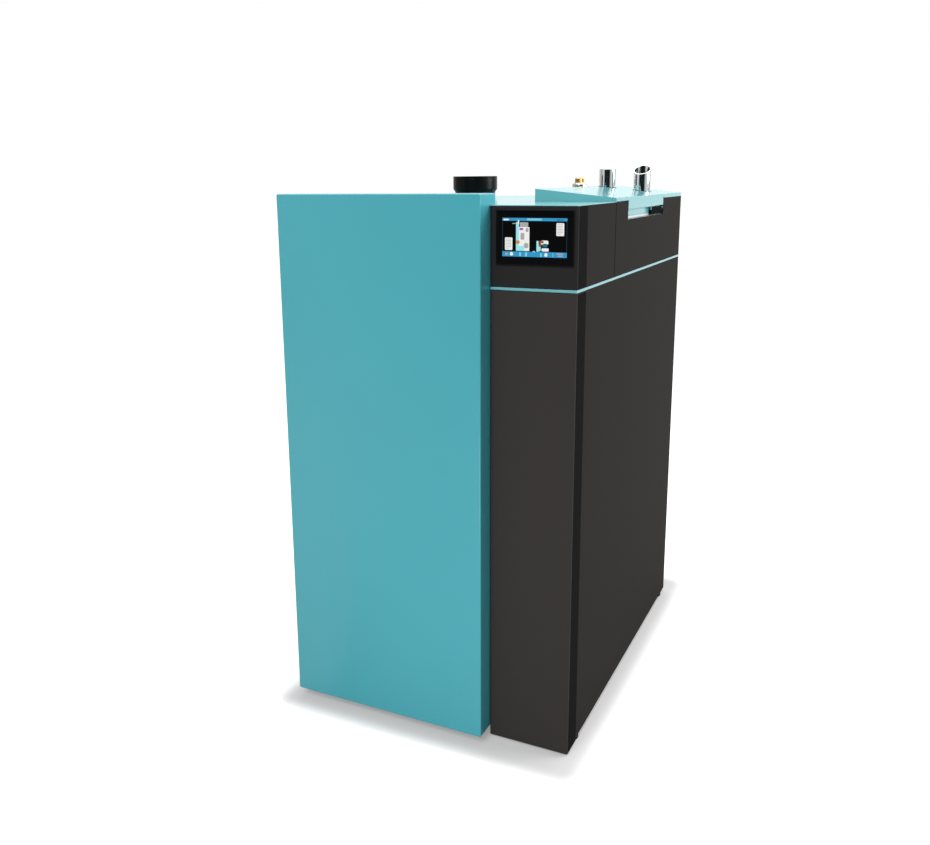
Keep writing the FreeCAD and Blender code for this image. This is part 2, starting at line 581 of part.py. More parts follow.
# ---- feed auger ---------------------------------------------------------------------------------
auger_line = ("feed_across", "auger_height")
outlet_line = ("feed_across", "burner_back")
keep("auger_tube", cut(
    fuse(rod("y", auger_line, "auger_radius", ("auger_front", "auger_rear")),
         box(("outlet_left", "outlet_right"), ("outlet_front", "outlet_rear"), ("auger_height", "inlet_top")),
         rod("z", outlet_line, "neck_radius", ("hose_top - hose_lap", "auger_height"))),
    rod("y", auger_line, "auger_bore", ("auger_front + end_plate", "auger_rear - end_plate")),
    rod("y", auger_line, "shaft_radius + running", ("auger_front - 1", "auger_rear + 1")),
    box(("outlet_left + steel", "outlet_right - steel"), ("outlet_front + steel", "outlet_rear - steel"),
        ("auger_height", "inlet_top + 1")),
    rod("z", outlet_line, "neck_radius - tube_wall", ("hose_top - hose_lap - 1", "auger_height"))))

auger = new_body(("feed_across", "0", "auger_height"))
pad(auger, "XZ", [("0", "0", "shaft_radius")], ("auger_front", "auger_rear + 30"))
flight = auger.newObject("PartDesign::AdditiveHelix", "Flight")
flight.Profile = sketch(auger, "YZ", "0", [rectangle(
    ("auger_front + end_plate + 4", "auger_front + end_plate + 4 + flight_thick"),
    ("shaft_radius - 0.5", "auger_bore - flight_clear"))])
flight.ReferenceAxis = (flight.Profile[0], ["H_Axis"])
flight.Mode = 0
flight.setExpression("Pitch", bound("flight_pitch"))
flight.setExpression("Height", bound("auger_rear - auger_front - 2*end_plate - 8 - flight_thick"))
keep("feed_auger", auger)

gear_line = ("auger_rear", "auger_rear + gearbox_long")
keep("auger_gearmotor", cut(
    fuse(box(around("feed_across", "gearbox_side"), gear_line, around("auger_height", "gearbox_side")),
         rod("y", auger_line, "gearmotor_radius", (gear_line[1], f"{gear_line[1]} + gearmotor_long"))),
    rod("y", auger_line, "shaft_radius + running", ("auger_rear - 1", "auger_rear + 31"))))

ridges = []
for step in range(6):
    for rise, swell in ((0, 0), (7.5, 4)):
        ridges.append((f"neck_radius + slack + hose_wall + {swell}", f"hose_low + {15 * step + rise}"))
turned("drop_hose", ("feed_across", "burner_back", "0"),
       [("neck_radius + slack", "hose_low")] + ridges +
       [("neck_radius + slack + hose_wall", "hose_top"), ("neck_radius + slack", "hose_top")])

# ---- burner -------------------------------------------------------------------------------------
burner_line = ("burner_back", "burner_height")
square = (around("burner_back", "flange_half"), around("burner_height", "flange_half"))
bolt_spots = [(f"burner_back {side} bolt_offset", f"burner_height {rise} bolt_offset")
              for side in "+-" for rise in "+-"]
bolt_holes = [rod("x", spot, "bolt_radius + running", ("column_left - 1", "burner_face + 1"))
              for spot in bolt_spots]
keep("burner_tube", cut(
    fuse(rod("x", burner_line, "burner_radius", ("burner_tip", "port_end")),
         box(("port_end", "burner_face"), *square)),
    rod("x", burner_line, "burner_bore", ("burner_tip - 1", "burner_face + 1")), *bolt_holes))
bolts = []
for spot in bolt_spots:
    bolts.append(rod("x", spot, "bolt_radius", ("column_left", "burner_face")))
    bolts.append(rod("x", spot, "1.6*bolt_radius", ("burner_face", "burner_face + bolt_radius")))

actuator_line = ("burner_back", "burner_height - grate_drop")
igniter_line = ("burner_back - igniter_side", "burner_height + 10")
keep("burner_housing", cut(
    fuse(box(("burner_face", "housing_end"), around("burner_back", "housing_half - 12"),
             around("burner_height", "housing_half - 12")),
         rod("z", outlet_line, "neck_radius", ("burner_height", "hose_low + hose_lap"))),
    box(("burner_face + steel", "housing_end - steel"), around("burner_back", "housing_half - 14"),
        around("burner_height", "housing_half - 14")),
    rod("z", outlet_line, "neck_radius - tube_wall", ("burner_height", "hose_low + hose_lap + 1")),
    rod("x", ("burner_back + 8", "burner_height + 14"), "view_hole", ("burner_face - 1", "burner_face + 3")),
    rod("x", actuator_line, "rod_radius + slack", ("burner_face - 1", "burner_face + 3")),
    rod("x", igniter_line, "igniter_radius + slack", ("burner_face - 1", "burner_face + 3")),
    rod("x", burner_line, "axle_radius + slack", ("housing_end - 3", "housing_end + 1"))))

grate_x = ("burner_tip + 6", "burner_tip + 6 + grate_long")
above = box(("burner_tip", f"{grate_x[1]} + 1"), around("burner_back", "burner_radius"),
            ("burner_height", "burner_height + burner_radius"))
slots = []
for i in range(5):
    low = f"burner_tip + slot_first + {i}*slot_pitch"
    slots.append(box((low, f"{low} + slot_wide"), around("burner_back", "slot_half"),
                     ("burner_height - burner_radius", "burner_height - burner_radius/2")))
scoop = cut(rod("x", burner_line, "burner_bore - 0.5", grate_x),
            rod("x", burner_line, "burner_bore - 3.5", ("burner_tip", f"{grate_x[1]} - 3")), above, *slots)
push_rod = rod("x", actuator_line, "rod_radius", (f"{grate_x[1]} - 1", "housing_end - 20"))
keep("burner_grate", fuse(scoop, push_rod))
keep("grate_actuator", cut(
    rod("x", actuator_line, "4*rod_radius", ("burner_face + 26", "housing_end - steel")),
    rod("x", actuator_line, "rod_radius + running", ("burner_face + 25", "housing_end - 8"))))
keep("igniter", rod("x", igniter_line, "igniter_radius", (f"{grate_x[1]} - 20", "burner_face + 40")))

burner_fan_case = cut(
    rod("x", burner_line, "fan_radius", ("housing_end", "fan_end")),
    rod("x", burner_line, "fan_radius - steel", ("housing_end + steel", "fan_end - steel")),
    rod("x", burner_line, "fan_radius/2", ("fan_end - 3", "fan_end + 1")),
    rod("x", burner_line, "axle_radius + slack", ("housing_end - 1", "housing_end + 3")))
impeller("burner_fan_impeller", ("housing_end + 6", *burner_line), "x", "(fan_radius - 12)", "fan_deep - 14",
         "axle_radius", ("-40", "1"))
keep("burner_fan_housing", fuse(burner_fan_case, cut(
    rod("x", burner_line, "5*axle_radius", ("housing_end - 48", "housing_end - steel")),
    rod("x", burner_line, "axle_radius + running", ("housing_end - 36", "housing_end - 1")))))

# ---- boiler body --------------------------------------------------------------------------------
tube_spots = [(f"tube_first + {i}*tube_pitch", f"tube_row + {j}*tube_pitch")
              for j in range(3) for i in range(3)]
mouth_x, mouth_z = ("fire_left", "fire_right"), ("fire_low", "fire_top")
shell_x, shell_y = ("boiler_left", "boiler_right"), ("boiler_front", "boiler_rear")
between_x = ("boiler_left + boiler_wall", "boiler_right - boiler_wall")
between_z = ("boiler_low + boiler_wall", "boiler_top - boiler_wall")
tube_holes = [rod("z", spot, "tube_bore", ("boiler_top - boiler_wall - 1", "boiler_top + 1"))
              for spot in tube_spots]
socket_holes = [rod("y", ("socket_across", up), "socket_bore",
                    ("boiler_rear - boiler_wall - 1", "boiler_rear + 1"))
                for up in ("flow_height", "return_height")]
shell_plates = [
    box(shell_x, shell_y, ("boiler_low", between_z[0])),
    cut(box(shell_x, shell_y, (between_z[1], "boiler_top")), *tube_holes),
    box(("boiler_left", between_x[0]), shell_y, between_z),
    cut(box((between_x[1], "boiler_right"), shell_y, between_z),
        rod("x", burner_line, "port_outer", ("boiler_right - boiler_wall - 1", "boiler_right + 1"))),
    cut(box(between_x, ("boiler_rear - boiler_wall", "boiler_rear"), between_z), *socket_holes)]
burner_port = cut(
    fuse(rod("x", burner_line, "port_outer", ("fire_right", "port_end")),
         box(("column_left", "port_end"), *square)),
    rod("x", burner_line, "port_radius", ("fire_right - 1", "port_end + 1")), *bolt_holes)
front_plate = cut(box(between_x, ("boiler_front", "boiler_front + boiler_wall"), between_z),
                  box(mouth_x, ("boiler_front - 1", "boiler_front + boiler_wall + 1"), mouth_z))

inner_x = ("fire_left + fire_wall", "fire_right - fire_wall")
fire_y = ("boiler_front", "fire_rear - fire_wall")
fire_low_plate, fire_top_plate = ("fire_low", "fire_low + fire_wall"), ("fire_top - fire_wall", "fire_top")
side_z = (fire_low_plate[1], fire_top_plate[0])
keep("firebox", group(
    box(mouth_x, ("boiler_front", "fire_rear"), fire_low_plate),
    cut(box(mouth_x, ("boiler_front", "fire_rear"), fire_top_plate),
        *[rod("z", spot, "tube_bore", ("fire_top - fire_wall - 1", "fire_top + 1")) for spot in tube_spots]),
    box(("fire_left", inner_x[0]), fire_y, side_z),
    cut(box((inner_x[1], "fire_right"), fire_y, side_z),
        rod("x", burner_line, "burner_radius + 2", ("fire_right - fire_wall - 1", "fire_right + 1"))),
    box(mouth_x, (fire_y[1], "fire_rear"), side_z),
    *[tube("z", spot, "tube_radius", "tube_bore", ("fire_top", "boiler_top - boiler_wall"))
      for spot in tube_spots]))
smoke_box = cut(
    box(mouth_x, ("smoke_front", "smoke_rear"), ("boiler_top", "smoke_top")),
    box(("fire_left + 4", "fire_right - 4"), ("smoke_front + 4", "smoke_rear - 4"),
        ("boiler_top - 1", "smoke_top - 4")),
    rod("z", ("lift_across", "lift_back"), "lift_rod + running", ("smoke_top - 5", "smoke_top + 1")),
    rod("y", ("flue_across", "flue_fan_height"), "flue_neck - 10", ("smoke_rear - 5", "smoke_rear + 1")))

turbulators = new_body()
bar_x = ("tube_first - 22", "tube_first + 2*tube_pitch + 22")
spine_y = ("tube_row - bar_half", "tube_row + 2*tube_pitch + bar_half")
pad(turbulators, "XY", [rectangle(around("lift_across", "bar_half"), spine_y)],
    ("lift_low + 6", "lift_low + 12"))
for j in range(3):
    row = f"tube_row + {j}*tube_pitch"
    pad(turbulators, "XZ", [rectangle(bar_x, ("lift_low", "lift_low + 6"))], around(row, "bar_half"))
    strips = []
    for i in range(3):
        middle = f"tube_first + {i}*tube_pitch"
        bends = [("bend_side" if k % 2 else "-bend_side", f"lift_low - {k}*bend_drop") for k in range(9)]
        strips.append([(f"{middle} + {side} - strip_half", drop) for side, drop in bends] +
                      [(f"{middle} + {side} + strip_half", drop) for side, drop in reversed(bends)])
    pad(turbulators, "XZ", strips, around(row, "11"))
pad(turbulators, "XY", [("lift_across", "lift_back", "lift_rod")], ("lift_low + 12", "smoke_top + 20"))
keep("turbulators", turbulators)
keep("cleaning_actuator", cut(
    rod("z", ("lift_across", "lift_back"), "3*lift_rod", ("smoke_top", "smoke_top + actuator_tall")),
    rod("z", ("lift_across", "lift_back"), "lift_rod + running",
        ("smoke_top - 1", "smoke_top + actuator_tall - 3"))))

wrap_z = ("boiler_low + 10", "boiler_top")
rear_wrap = cut(
    box(("boiler_left", "boiler_right"), ("boiler_rear", "boiler_rear + insulation_thick"), wrap_z),
    *[rod("y", (across, up), f"{radius} + 1", ("boiler_rear - 1", "boiler_rear + insulation_thick + 1"))
      for across, up, radius in (("socket_across", "flow_height", "socket_radius"),
                                 ("socket_across", "return_height", "socket_radius"),
                                 ("drain_across", "drain_height", "drain_radius"))])
keep("boiler_insulation", group(
    box(("boiler_left - insulation_thick", "boiler_left"),
        ("boiler_front", "boiler_rear + insulation_thick"), wrap_z), rear_wrap))

# ---- fire door and ash drawer -------------------------------------------------------------------
door_z = ("door_split + 3", "fire_top + door_lap")
hinge_line = ("fire_pivot", "fire_pivot_back")
fire_knuckles = ((f"{door_z[0]} + 40", f"{door_z[0]} + 90"), (f"{door_z[1]} - 90", f"{door_z[1]} - 40"))
handle_line = ("door_right - 40", "(door_split + fire_top)/2")
keep("fire_door", cut(
    fuse(box(("door_left", "door_right"), ("fire_door_front", "boiler_front - slack"), door_z),
         *[rod("z", hinge_line, "fire_barrel", span) for span in fire_knuckles],
         *[box(("fire_pivot", "door_left"), ("fire_pivot_back - fire_barrel", "fire_pivot_back - 3"), span)
           for span in fire_knuckles]),
    *[rod("z", hinge_line, "rod_radius + running", (f"{low} - 1", f"{high} + 1"))
      for low, high in fire_knuckles],
    rod("y", handle_line, "rod_radius + running", ("fire_door_front - 1", "fire_door_front + 15"))))
pins = []
for low, high in fire_knuckles:
    pins.append(rod("z", hinge_line, "rod_radius", (f"{low} - 14", high)))
    pins.append(box(("fire_pivot - 8", "fire_pivot + 8"), ("fire_pivot_back - 8", "boiler_front"),
                    (f"{low} - 14", f"{low} - 1")))
keep("boiler_shell", group(*shell_plates, burner_port, fuse(front_plate, *pins), smoke_box))
keep("fire_door_handle", fuse(
    rod("y", handle_line, "rod_radius", ("fire_door_front - 14", "fire_door_front + 14")),
    rod("y", handle_line, "handle_disc", ("fire_door_front - 22", "fire_door_front - slack")),
    box(around("door_right - 40", "handle_half"), ("fire_door_front - 30", "fire_door_front - 18"),
        (f"{handle_line[1]} - handle_reach", f"{handle_line[1]} + handle_half"))))

drawer_x = ("fire_left + fire_wall + 4", "fire_right - fire_wall - 4")
drawer_z = ("fire_low + fire_wall + slack", "door_split - 12")
drawer_face = ("boiler_front - slack - 10", "boiler_front - slack")
tray_y = (drawer_face[1], "boiler_front + drawer_long")
wall_y, wall_z = (tray_y[0], f"{tray_y[1]} - steel"), (f"{drawer_z[0]} + steel", drawer_z[1])
grip_line = ("(fire_left + fire_right)/2", "(fire_low + door_split)/2")
keep("ash_drawer", group(
    box(drawer_x, tray_y, (drawer_z[0], wall_z[0])),
    box((drawer_x[0], f"{drawer_x[0]} + steel"), wall_y, wall_z),
    box((f"{drawer_x[1]} - steel", drawer_x[1]), wall_y, wall_z),
    box(drawer_x, (wall_y[1], tray_y[1]), wall_z),
    fuse(box(("door_left", "door_right"), drawer_face, ("fire_low - 8", "door_split - 3")),
         cut(box(around(grip_line[0], "grip_half"), (f"{drawer_face[0]} - grip_reach", drawer_face[0]),
                 around(grip_line[1], "grip_thick")),
             box(around(grip_line[0], "grip_half - 10"),
                 (f"{drawer_face[0]} - grip_reach + grip_thick", f"{drawer_face[0]} + 1"),
                 around(grip_line[1], "grip_thick + 1"))))))

# ---- flue ---------------------------------------------------------------------------------------
fan_line = ("flue_across", "flue_fan_height")
neck_line = ("flue_across", "flue_back")
flue_fan_case = cut(
    fuse(rod("y", fan_line, "flue_fan_radius", ("smoke_rear", "flue_fan_rear")),
         rod("z", neck_line, "flue_neck - 8", ("flue_fan_height", "neck_top"))),
    rod("y", fan_line, "flue_fan_radius - 3", ("smoke_rear + 3", "flue_fan_rear - 3")),
    rod("y", fan_line, "flue_neck - 10", ("smoke_rear - 1", "smoke_rear + 4")),
    rod("y", fan_line, "flue_axle + slack", ("flue_fan_rear - 4", "flue_fan_rear + 1")),
    rod("z", neck_line, "flue_neck - 10", ("flue_fan_height", "neck_top + 1")))
impeller("flue_fan_impeller", ("flue_across", "smoke_rear + 18", "flue_fan_height"), "y",
         "(flue_fan_radius - 14)", "flue_fan_deep - 40", "flue_axle", ("1", "flue_fan_deep + 12"))
keep("flue_fan_housing", fuse(flue_fan_case, cut(
    rod("y", fan_line, "7*flue_axle", ("flue_fan_rear", "flue_fan_rear + 85")),
    rod("y", fan_line, "flue_axle + running", ("flue_fan_rear - 1", "flue_fan_rear + 45")))))
turned("flue_spigot", (*neck_line, "0"),
       [("flue_neck - 8 + slack", "neck_top - 20"), ("flue_neck", "neck_top - 20"),
        ("flue_neck", "collar_low - 6"), ("collar_radius - 2", "collar_low"),
        ("collar_radius", "collar_low + 3"), ("collar_radius", "collar_top"),
        ("collar_radius - flue_wall", "collar_top"), ("collar_radius - flue_wall", "collar_low + 4"),
        ("flue_neck - 8 + slack", "collar_low + 4")])

# ---- water side ---------------------------------------------------------------------------------
keep("water_sockets", fuse(*[tube("y", ("socket_across", up), "socket_radius", "socket_bore",
                                  ("boiler_rear", "rear_end")) for up in ("flow_height", "return_height")]))
drain_line = ("drain_across", "drain_height")
stem_line = ("drain_across", "rear_end - 34")
keep("drain_valve", cut(
    fuse(rod("y", drain_line, "drain_radius", ("boiler_rear", "rear_end - 5")),
         box(around("drain_across", "16"), around("rear_end - 34", "16"), around("drain_height", "16")),
         rod("z", stem_line, "rod_radius", ("lever_up - 1", "lever_up + 9"))),
    rod("y", drain_line, "drain_bore", ("rear_end - 25", "rear_end"))))
keep("drain_lever", cut(
    fuse(rod("z", stem_line, "8", ("lever_up + slack", "lever_up + 5")),
         box(("drain_across", "drain_across + lever_long"), around("rear_end - 34", "7"),
             ("lever_up + slack", "lever_up + 5"))),
    rod("z", stem_line, "rod_radius + running", ("lever_up - 1", "lever_up + 6"))))
turned("air_vent", ("vent_across", "vent_back", "0"),
       [("0", "boiler_top"), ("10", "boiler_top"), ("10", "case_top + 2"), ("vent_radius", "case_top + 2"),
        ("vent_radius", "vent_top - 18"), ("vent_radius - 8", "vent_top - 14"),
        ("vent_radius - 10", "vent_top"),
        ("0", "vent_top")])

# ---- power inlet, switch and screws on the back -------------------------------------------------
inlet_x = ("inlet_left", "inlet_left + inlet_wide")
switch_x = ("inlet_left + 38", "inlet_left + 38 + switch_wide")
switch_z = ("inlet_low + 8", "inlet_low + 8 + switch_tall")
keep("power_inlet", cut(
    box(inlet_x, ("case_depth", "case_depth + inlet_thick"), ("inlet_low", "inlet_low + inlet_tall")),
    box((f"{switch_x[0]} - 1", f"{switch_x[1]} + 1"), ("case_depth + steel", "case_depth + inlet_thick + 1"),
        (f"{switch_z[0]} - 2", f"{switch_z[1]} + 2")),
    box(("inlet_left + 7", "inlet_left + 29"), ("case_depth + steel", "case_depth + inlet_thick + 1"),
        ("inlet_low + 12", "inlet_low + 38"))))
keep("main_switch", fuse(
    box(switch_x, ("case_depth + 5", "case_depth + inlet_thick + 2"), switch_z),
    rod("x", ("case_depth + 6", "inlet_low + 8 + switch_tall/2"), "2.5",
        (f"{switch_x[0]} - 0.7", f"{switch_x[1]} + 0.7"))))
heads = []
for across in ("12", "case_width/2", "case_width - 12"):
    for up in ("40", "case_top/2", "panel_top - 20"):
        heads.append(rod("y", (across, up), "5", ("case_depth", "case_depth + 3")))
keep("fasteners", fuse(*bolts, *heads))

# ---- recompute, check and write -----------------------------------------------------------------
doc.recompute()
for thing in doc.Objects:
    faults = [word for word in thing.State if word in ("Invalid", "Error")]
    if faults:
        raise RuntimeError(f"{thing.Name} ({thing.Label}) is {faults}")
    if thing.TypeId == "PartDesign::Pocket" and thing.Shape.Volume >= thing.BaseFeature.Shape.Volume:
        raise RuntimeError(f"{thing.Name} in {thing.getParent().Label} takes nothing away")
for part in SUBPARTS:
    if part.Shape.isNull() or not part.Shape.isValid():
        raise RuntimeError(f"{part.Label} has no valid shape")
    part.Shape.exportStep(f"parts/{part.Label}.step")
    size = part.Shape.BoundBox
    print(f"{part.Label:22s} {len(part.Shape.Solids):3d} solids  {part.Shape.Volume / 1000:10.1f} cm3  "
          f"{size.XLength:6.1f} x {size.YLength:6.1f} x {size.ZLength:6.1f}")
print(len(SUBPARTS), "sub-parts")
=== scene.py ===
# %% [markdown]
# # A pellet boiler in a powder-coated cabinet
# The object is a floor-standing pellet boiler: a tall teal front door, a charcoal column with a
# touch display beside it, charcoal side panels with a teal trim band, and a teal hopper lid.
# The construction is already modelled, so this lesson adds what the eye sees: folded edges,
# turned and moulded shapes, and a finish for every surface. Everything is in metres.

# %% Load the construction
import json
import math

import bmesh
import bpy
import numpy as np
from mathutils import Matrix, Vector

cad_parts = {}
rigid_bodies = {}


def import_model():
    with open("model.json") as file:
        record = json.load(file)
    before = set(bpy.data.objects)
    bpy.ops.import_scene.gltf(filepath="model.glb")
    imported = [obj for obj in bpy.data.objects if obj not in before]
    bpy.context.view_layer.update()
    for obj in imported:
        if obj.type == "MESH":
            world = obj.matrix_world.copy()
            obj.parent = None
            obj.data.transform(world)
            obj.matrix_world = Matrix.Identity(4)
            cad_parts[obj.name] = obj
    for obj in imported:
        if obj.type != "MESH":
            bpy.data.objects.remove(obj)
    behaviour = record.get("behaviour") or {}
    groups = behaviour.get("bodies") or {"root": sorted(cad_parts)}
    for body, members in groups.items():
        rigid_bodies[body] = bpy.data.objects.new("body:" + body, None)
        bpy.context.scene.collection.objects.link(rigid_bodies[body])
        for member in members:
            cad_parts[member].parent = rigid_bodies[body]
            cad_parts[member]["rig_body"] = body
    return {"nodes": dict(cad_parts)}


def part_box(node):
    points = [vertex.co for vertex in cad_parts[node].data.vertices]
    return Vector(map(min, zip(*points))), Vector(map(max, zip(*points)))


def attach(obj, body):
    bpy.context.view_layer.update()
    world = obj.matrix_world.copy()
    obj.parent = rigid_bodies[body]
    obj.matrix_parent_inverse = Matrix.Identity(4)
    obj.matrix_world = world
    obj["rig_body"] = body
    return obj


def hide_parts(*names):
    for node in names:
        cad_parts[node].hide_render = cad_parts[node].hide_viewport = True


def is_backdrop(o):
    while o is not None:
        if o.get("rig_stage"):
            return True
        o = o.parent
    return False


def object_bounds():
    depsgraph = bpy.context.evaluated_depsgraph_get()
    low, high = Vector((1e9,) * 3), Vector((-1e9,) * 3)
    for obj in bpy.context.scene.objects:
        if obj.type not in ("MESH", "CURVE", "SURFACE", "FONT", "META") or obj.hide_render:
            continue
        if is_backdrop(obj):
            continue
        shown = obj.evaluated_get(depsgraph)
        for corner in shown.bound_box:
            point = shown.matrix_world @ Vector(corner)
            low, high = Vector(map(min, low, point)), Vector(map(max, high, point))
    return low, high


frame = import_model()
cad_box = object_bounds()
MM = 0.001

# %% [markdown]
# ## Camera
# The camera stands to the right of the door, a little above the top edge and turned down. A short
# lens shift keeps the cabinet where it sits in the frame without tilting the camera further.

# %% Camera
camera_data = bpy.data.cameras.new("camera")
camera_data.lens = 35.39
camera_data.sensor_width = 36.0
camera_data.shift_x = 0.0269
camera_data.shift_y = -0.0457
camera = bpy.data.objects.new("camera", camera_data)
turn, tilt, roll = math.radians(26.46), math.radians(90 - 12.44), math.radians(-0.622)
camera.matrix_world = (Matrix.Translation((1.00293, -2.45670, 1.40405)) @ Matrix.Rotation(turn, 4, "Z")
                       @ Matrix.Rotation(tilt, 4, "X") @ Matrix.Rotation(roll, 4, "Z"))
bpy.context.scene.collection.objects.link(camera)
bpy.context.scene.camera = camera
print("camera looks along", [round(-v, 3) for v in camera.matrix_world.col[2][:3]])

# %% [markdown]
# ## One helper for every shader node
# A material is a small graph of nodes. Adding a node always means the same three things: make it,
# set some of its values and link some of its inputs, so one function does that for every kind.
# Colours are written as sRGB hex codes, which is how paint cards and screens give them, and one
# function turns a code to the linear numbers that the renderer works in.

# %% Colour and node helpers
def linear(code):
    """An sRGB hex code as linear red, green, blue and alpha: each share s becomes s/12.92 when it
    is small, and ((s + 0.055)/1.055) to the power 2.4 above that."""
    share = np.array([int(code[i:i + 2], 16) for i in (1, 3, 5)]) / 255
    return (*np.where(share <= 0.04045, share / 12.92, ((share + 0.055) / 1.055) ** 2.4), 1.0)


def settle(tree, node, values=(), links=()):
    """Sets the constants of a node's sockets, and links the outputs that feed its other ones."""
    for socket, number in dict(values).items():
        node.inputs[socket].default_value = number
    for socket, output in dict(links).items():
        tree.links.new(output, node.inputs[socket])
    return node


def add(tree, kind, values=(), links=(), **settings):
    """One shader node: its kind, the constants of its sockets, the outputs that feed its other
    sockets, and its own settings."""
    node = tree.nodes.new(kind)
    for name, setting in settings.items():
        setattr(node, name, setting)
    return settle(tree, node, values, links)


def start(name):
    """An empty material: its tree, its shader, and the piece's own coordinates in metres."""
    material = bpy.data.materials.new(name)
    material.use_nodes = True
    tree = material.node_tree
    tree.nodes.clear()
    shader = add(tree, "ShaderNodeBsdfPrincipled")
    add(tree, "ShaderNodeOutputMaterial", links={"Surface": shader.outputs["BSDF"]})
    place = add(tree, "ShaderNodeTexCoord").outputs["Object"]
    return material, tree, shader, place


def per_mm(size):
    """The scale that makes one cell of a pattern this many millimetres wide."""
    return 1000 / size


print("helpers ready; mid teal is", [round(v, 3) for v in linear("#57A7B3")[:3]])

# %% [markdown]
# ## Lamps
# The cabinet stands on a pale floor in front of white. Three large soft lamps light it plainly: one
# over it, one high in front, and one from the right that brightens every edge on that side. A
# small one near the floor lifts the foot of the door, which is farthest from the others.

# %% Lamps
def lamp(name, place, aim, size, power):
    """A square soft lamp at a place, turned so that its face looks at a point."""
    data = bpy.data.lights.new(name, "AREA")
    data.size = size
    data.energy = power
    thing = bpy.data.objects.new(name, data)
    thing.visible_camera = False
    thing.matrix_world = (Matrix.Translation(place)
                          @ (Vector(place) - Vector(aim)).to_track_quat("Z", "Y").to_matrix().to_4x4())
    bpy.context.scene.collection.objects.link(thing)


lamp("lamp_over", (0.2, 0.9, 4.4), (0.0, 0.1, 1.4), 3.2, 125)
lamp("lamp_front", (0.2, -4.4, 4.0), (-0.1, -0.5, 0.5), 2.4, 182)
lamp("lamp_right", (4.4, 1.6, 2.6), (0.4, 0.1, 0.9), 2.6, 215)
lamp("lamp_low", (0.3, -1.6, 0.3), (0.12, -0.575, 0.15), 0.5, 2.6)
print("lamps:", len(bpy.data.lights))

# %% [markdown]
# ## The room that mirror rays see
# Chromed tube in an all-white room would look flat. So mirror rays see a dark doorway behind the
# camera and grey walls beside it, which draws the dark and pale streaks on it. The room is only a
# colour for camera, mirror and glass rays, so it adds no light to the object.

# %% The room that mirror rays see
# Bearings in degrees from the X axis, with the grey that stands there.
ROOM = ((-150, "#C6CACA"), (-135, "#E8ECEC"), (-118, "#A8ACAC"), (-114, "#181C1D"), (-46, "#181C1D"),
        (-40, "#9EA4A4"), (-15, "#E4E8E8"), (15, "#DDE6E6"), (35, "#9FB4B6"), (55, "#C4D8DA"),
        (66, "#FFFFFF"), (128, "#FFFFFF"), (145, "#B0AEAE"), (165, "#E6E6E6"))


def room_colour(tree, toward):
    """What mirror rays see at each bearing round the cabinet: the bearing is the angle of x and y,
    and a ramp holds the room's greys."""
    split = add(tree, "ShaderNodeSeparateXYZ", links={"Vector": toward})
    bearing = add(tree, "ShaderNodeMath", links={0: split.outputs["Y"], 1: split.outputs["X"]},
                  operation="ARCTAN2")
    share = add(tree, "ShaderNodeMapRange", {"From Min": -math.pi, "From Max": math.pi},
                {"Value": bearing.outputs[0]})
    ramp = add(tree, "ShaderNodeValToRGB", links={"Fac": share.outputs[0]})
    for end in ramp.color_ramp.elements:
        end.color = linear("#A4A8A8")
    for degrees, code in ROOM:
        ramp.color_ramp.elements.new((degrees + 180) / 360).color = linear(code)
    return ramp.outputs["Color"]


def seen_straight(tree, toward):
    """Whether a ray is one that shows things, from camera, mirror or glass, and the colour that
    it sees: the room for mirror rays and white for the others."""
    rays = add(tree, "ShaderNodeLightPath")
    shown = rays.outputs["Is Camera Ray"]
    for kind in ("Is Glossy Ray", "Is Transmission Ray"):
        shown = add(tree, "ShaderNodeMath", links={0: shown, 1: rays.outputs[kind]},
                    operation="MAXIMUM").outputs[0]
    colour = add(tree, "ShaderNodeMix", {"A": linear("#FFFFFF")},
                 {"Factor": rays.outputs["Is Glossy Ray"], "B": room_colour(tree, toward)},
                 data_type="RGBA")
    return shown, colour.outputs["Result"]


print("room greys:", len(ROOM))

# %% [markdown]
# ## Floor
# The floor is one large flat sheet of matt white paint. Lit by lamps alone it would be grey far away, so it
# also shows camera and mirror rays a pale glow, and the two add up to white. Round the cabinet's foot the
# glow is dimmed, which paints a shadow there.

# %% Floor
HALF = 40
floor_mesh = bpy.data.meshes.new("floor")
floor_mesh.from_pydata([(-HALF, -HALF, 0), (HALF, -HALF, 0), (HALF, HALF, 0), (-HALF, HALF, 0)], [],
                       [(0, 1, 2, 3)])
floor = bpy.data.objects.new("floor", floor_mesh)
bpy.context.scene.collection.objects.link(floor)
floor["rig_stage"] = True

# The glow is dimmed within 100 mm of the cabinet's outline: a painted shadow round the foot that deepens the
# contact shadow. The distance from the outline is the length of max(|p - middle| - half size, 0).
SHADOW_REACH, PAINTED_SHADOW_GLOW, FAR_GLOW = 100 * MM, 0.26, 0.97
floor_paint, tree, shader, place = start("matt_white_studio_floor")
low, high = (Vector(corner) for corner in cad_box)
away = place
for operation, values in (("SUBTRACT", {1: (low + high) / 2}), ("ABSOLUTE", {}),
                          ("SUBTRACT", {1: (high - low) / 2}), ("MAXIMUM", {1: (0, 0, 0)})):
    away = add(tree, "ShaderNodeVectorMath", values, {0: away}, operation=operation).outputs[0]
away = add(tree, "ShaderNodeVectorMath", links={0: away}, operation="LENGTH")
glow = add(tree, "ShaderNodeMapRange", {"From Max": SHADOW_REACH, "To Min": PAINTED_SHADOW_GLOW, "To Max": FAR_GLOW},
           {"Value": away.outputs["Value"]}, interpolation_type="SMOOTHERSTEP")
shown, seen_colour = seen_straight(tree, place)
glow = add(tree, "ShaderNodeMath", links={0: glow.outputs[0], 1: shown}, operation="MULTIPLY")
settle(tree, shader, {"Base Color": linear("#A8A8A8"), "Roughness": 0.9, "Specular IOR Level": 0.0},
       {"Emission Strength": glow.outputs[0], "Emission Color": seen_colour})
floor_mesh.materials.append(floor_paint)
print("floor:", floor_paint.name)

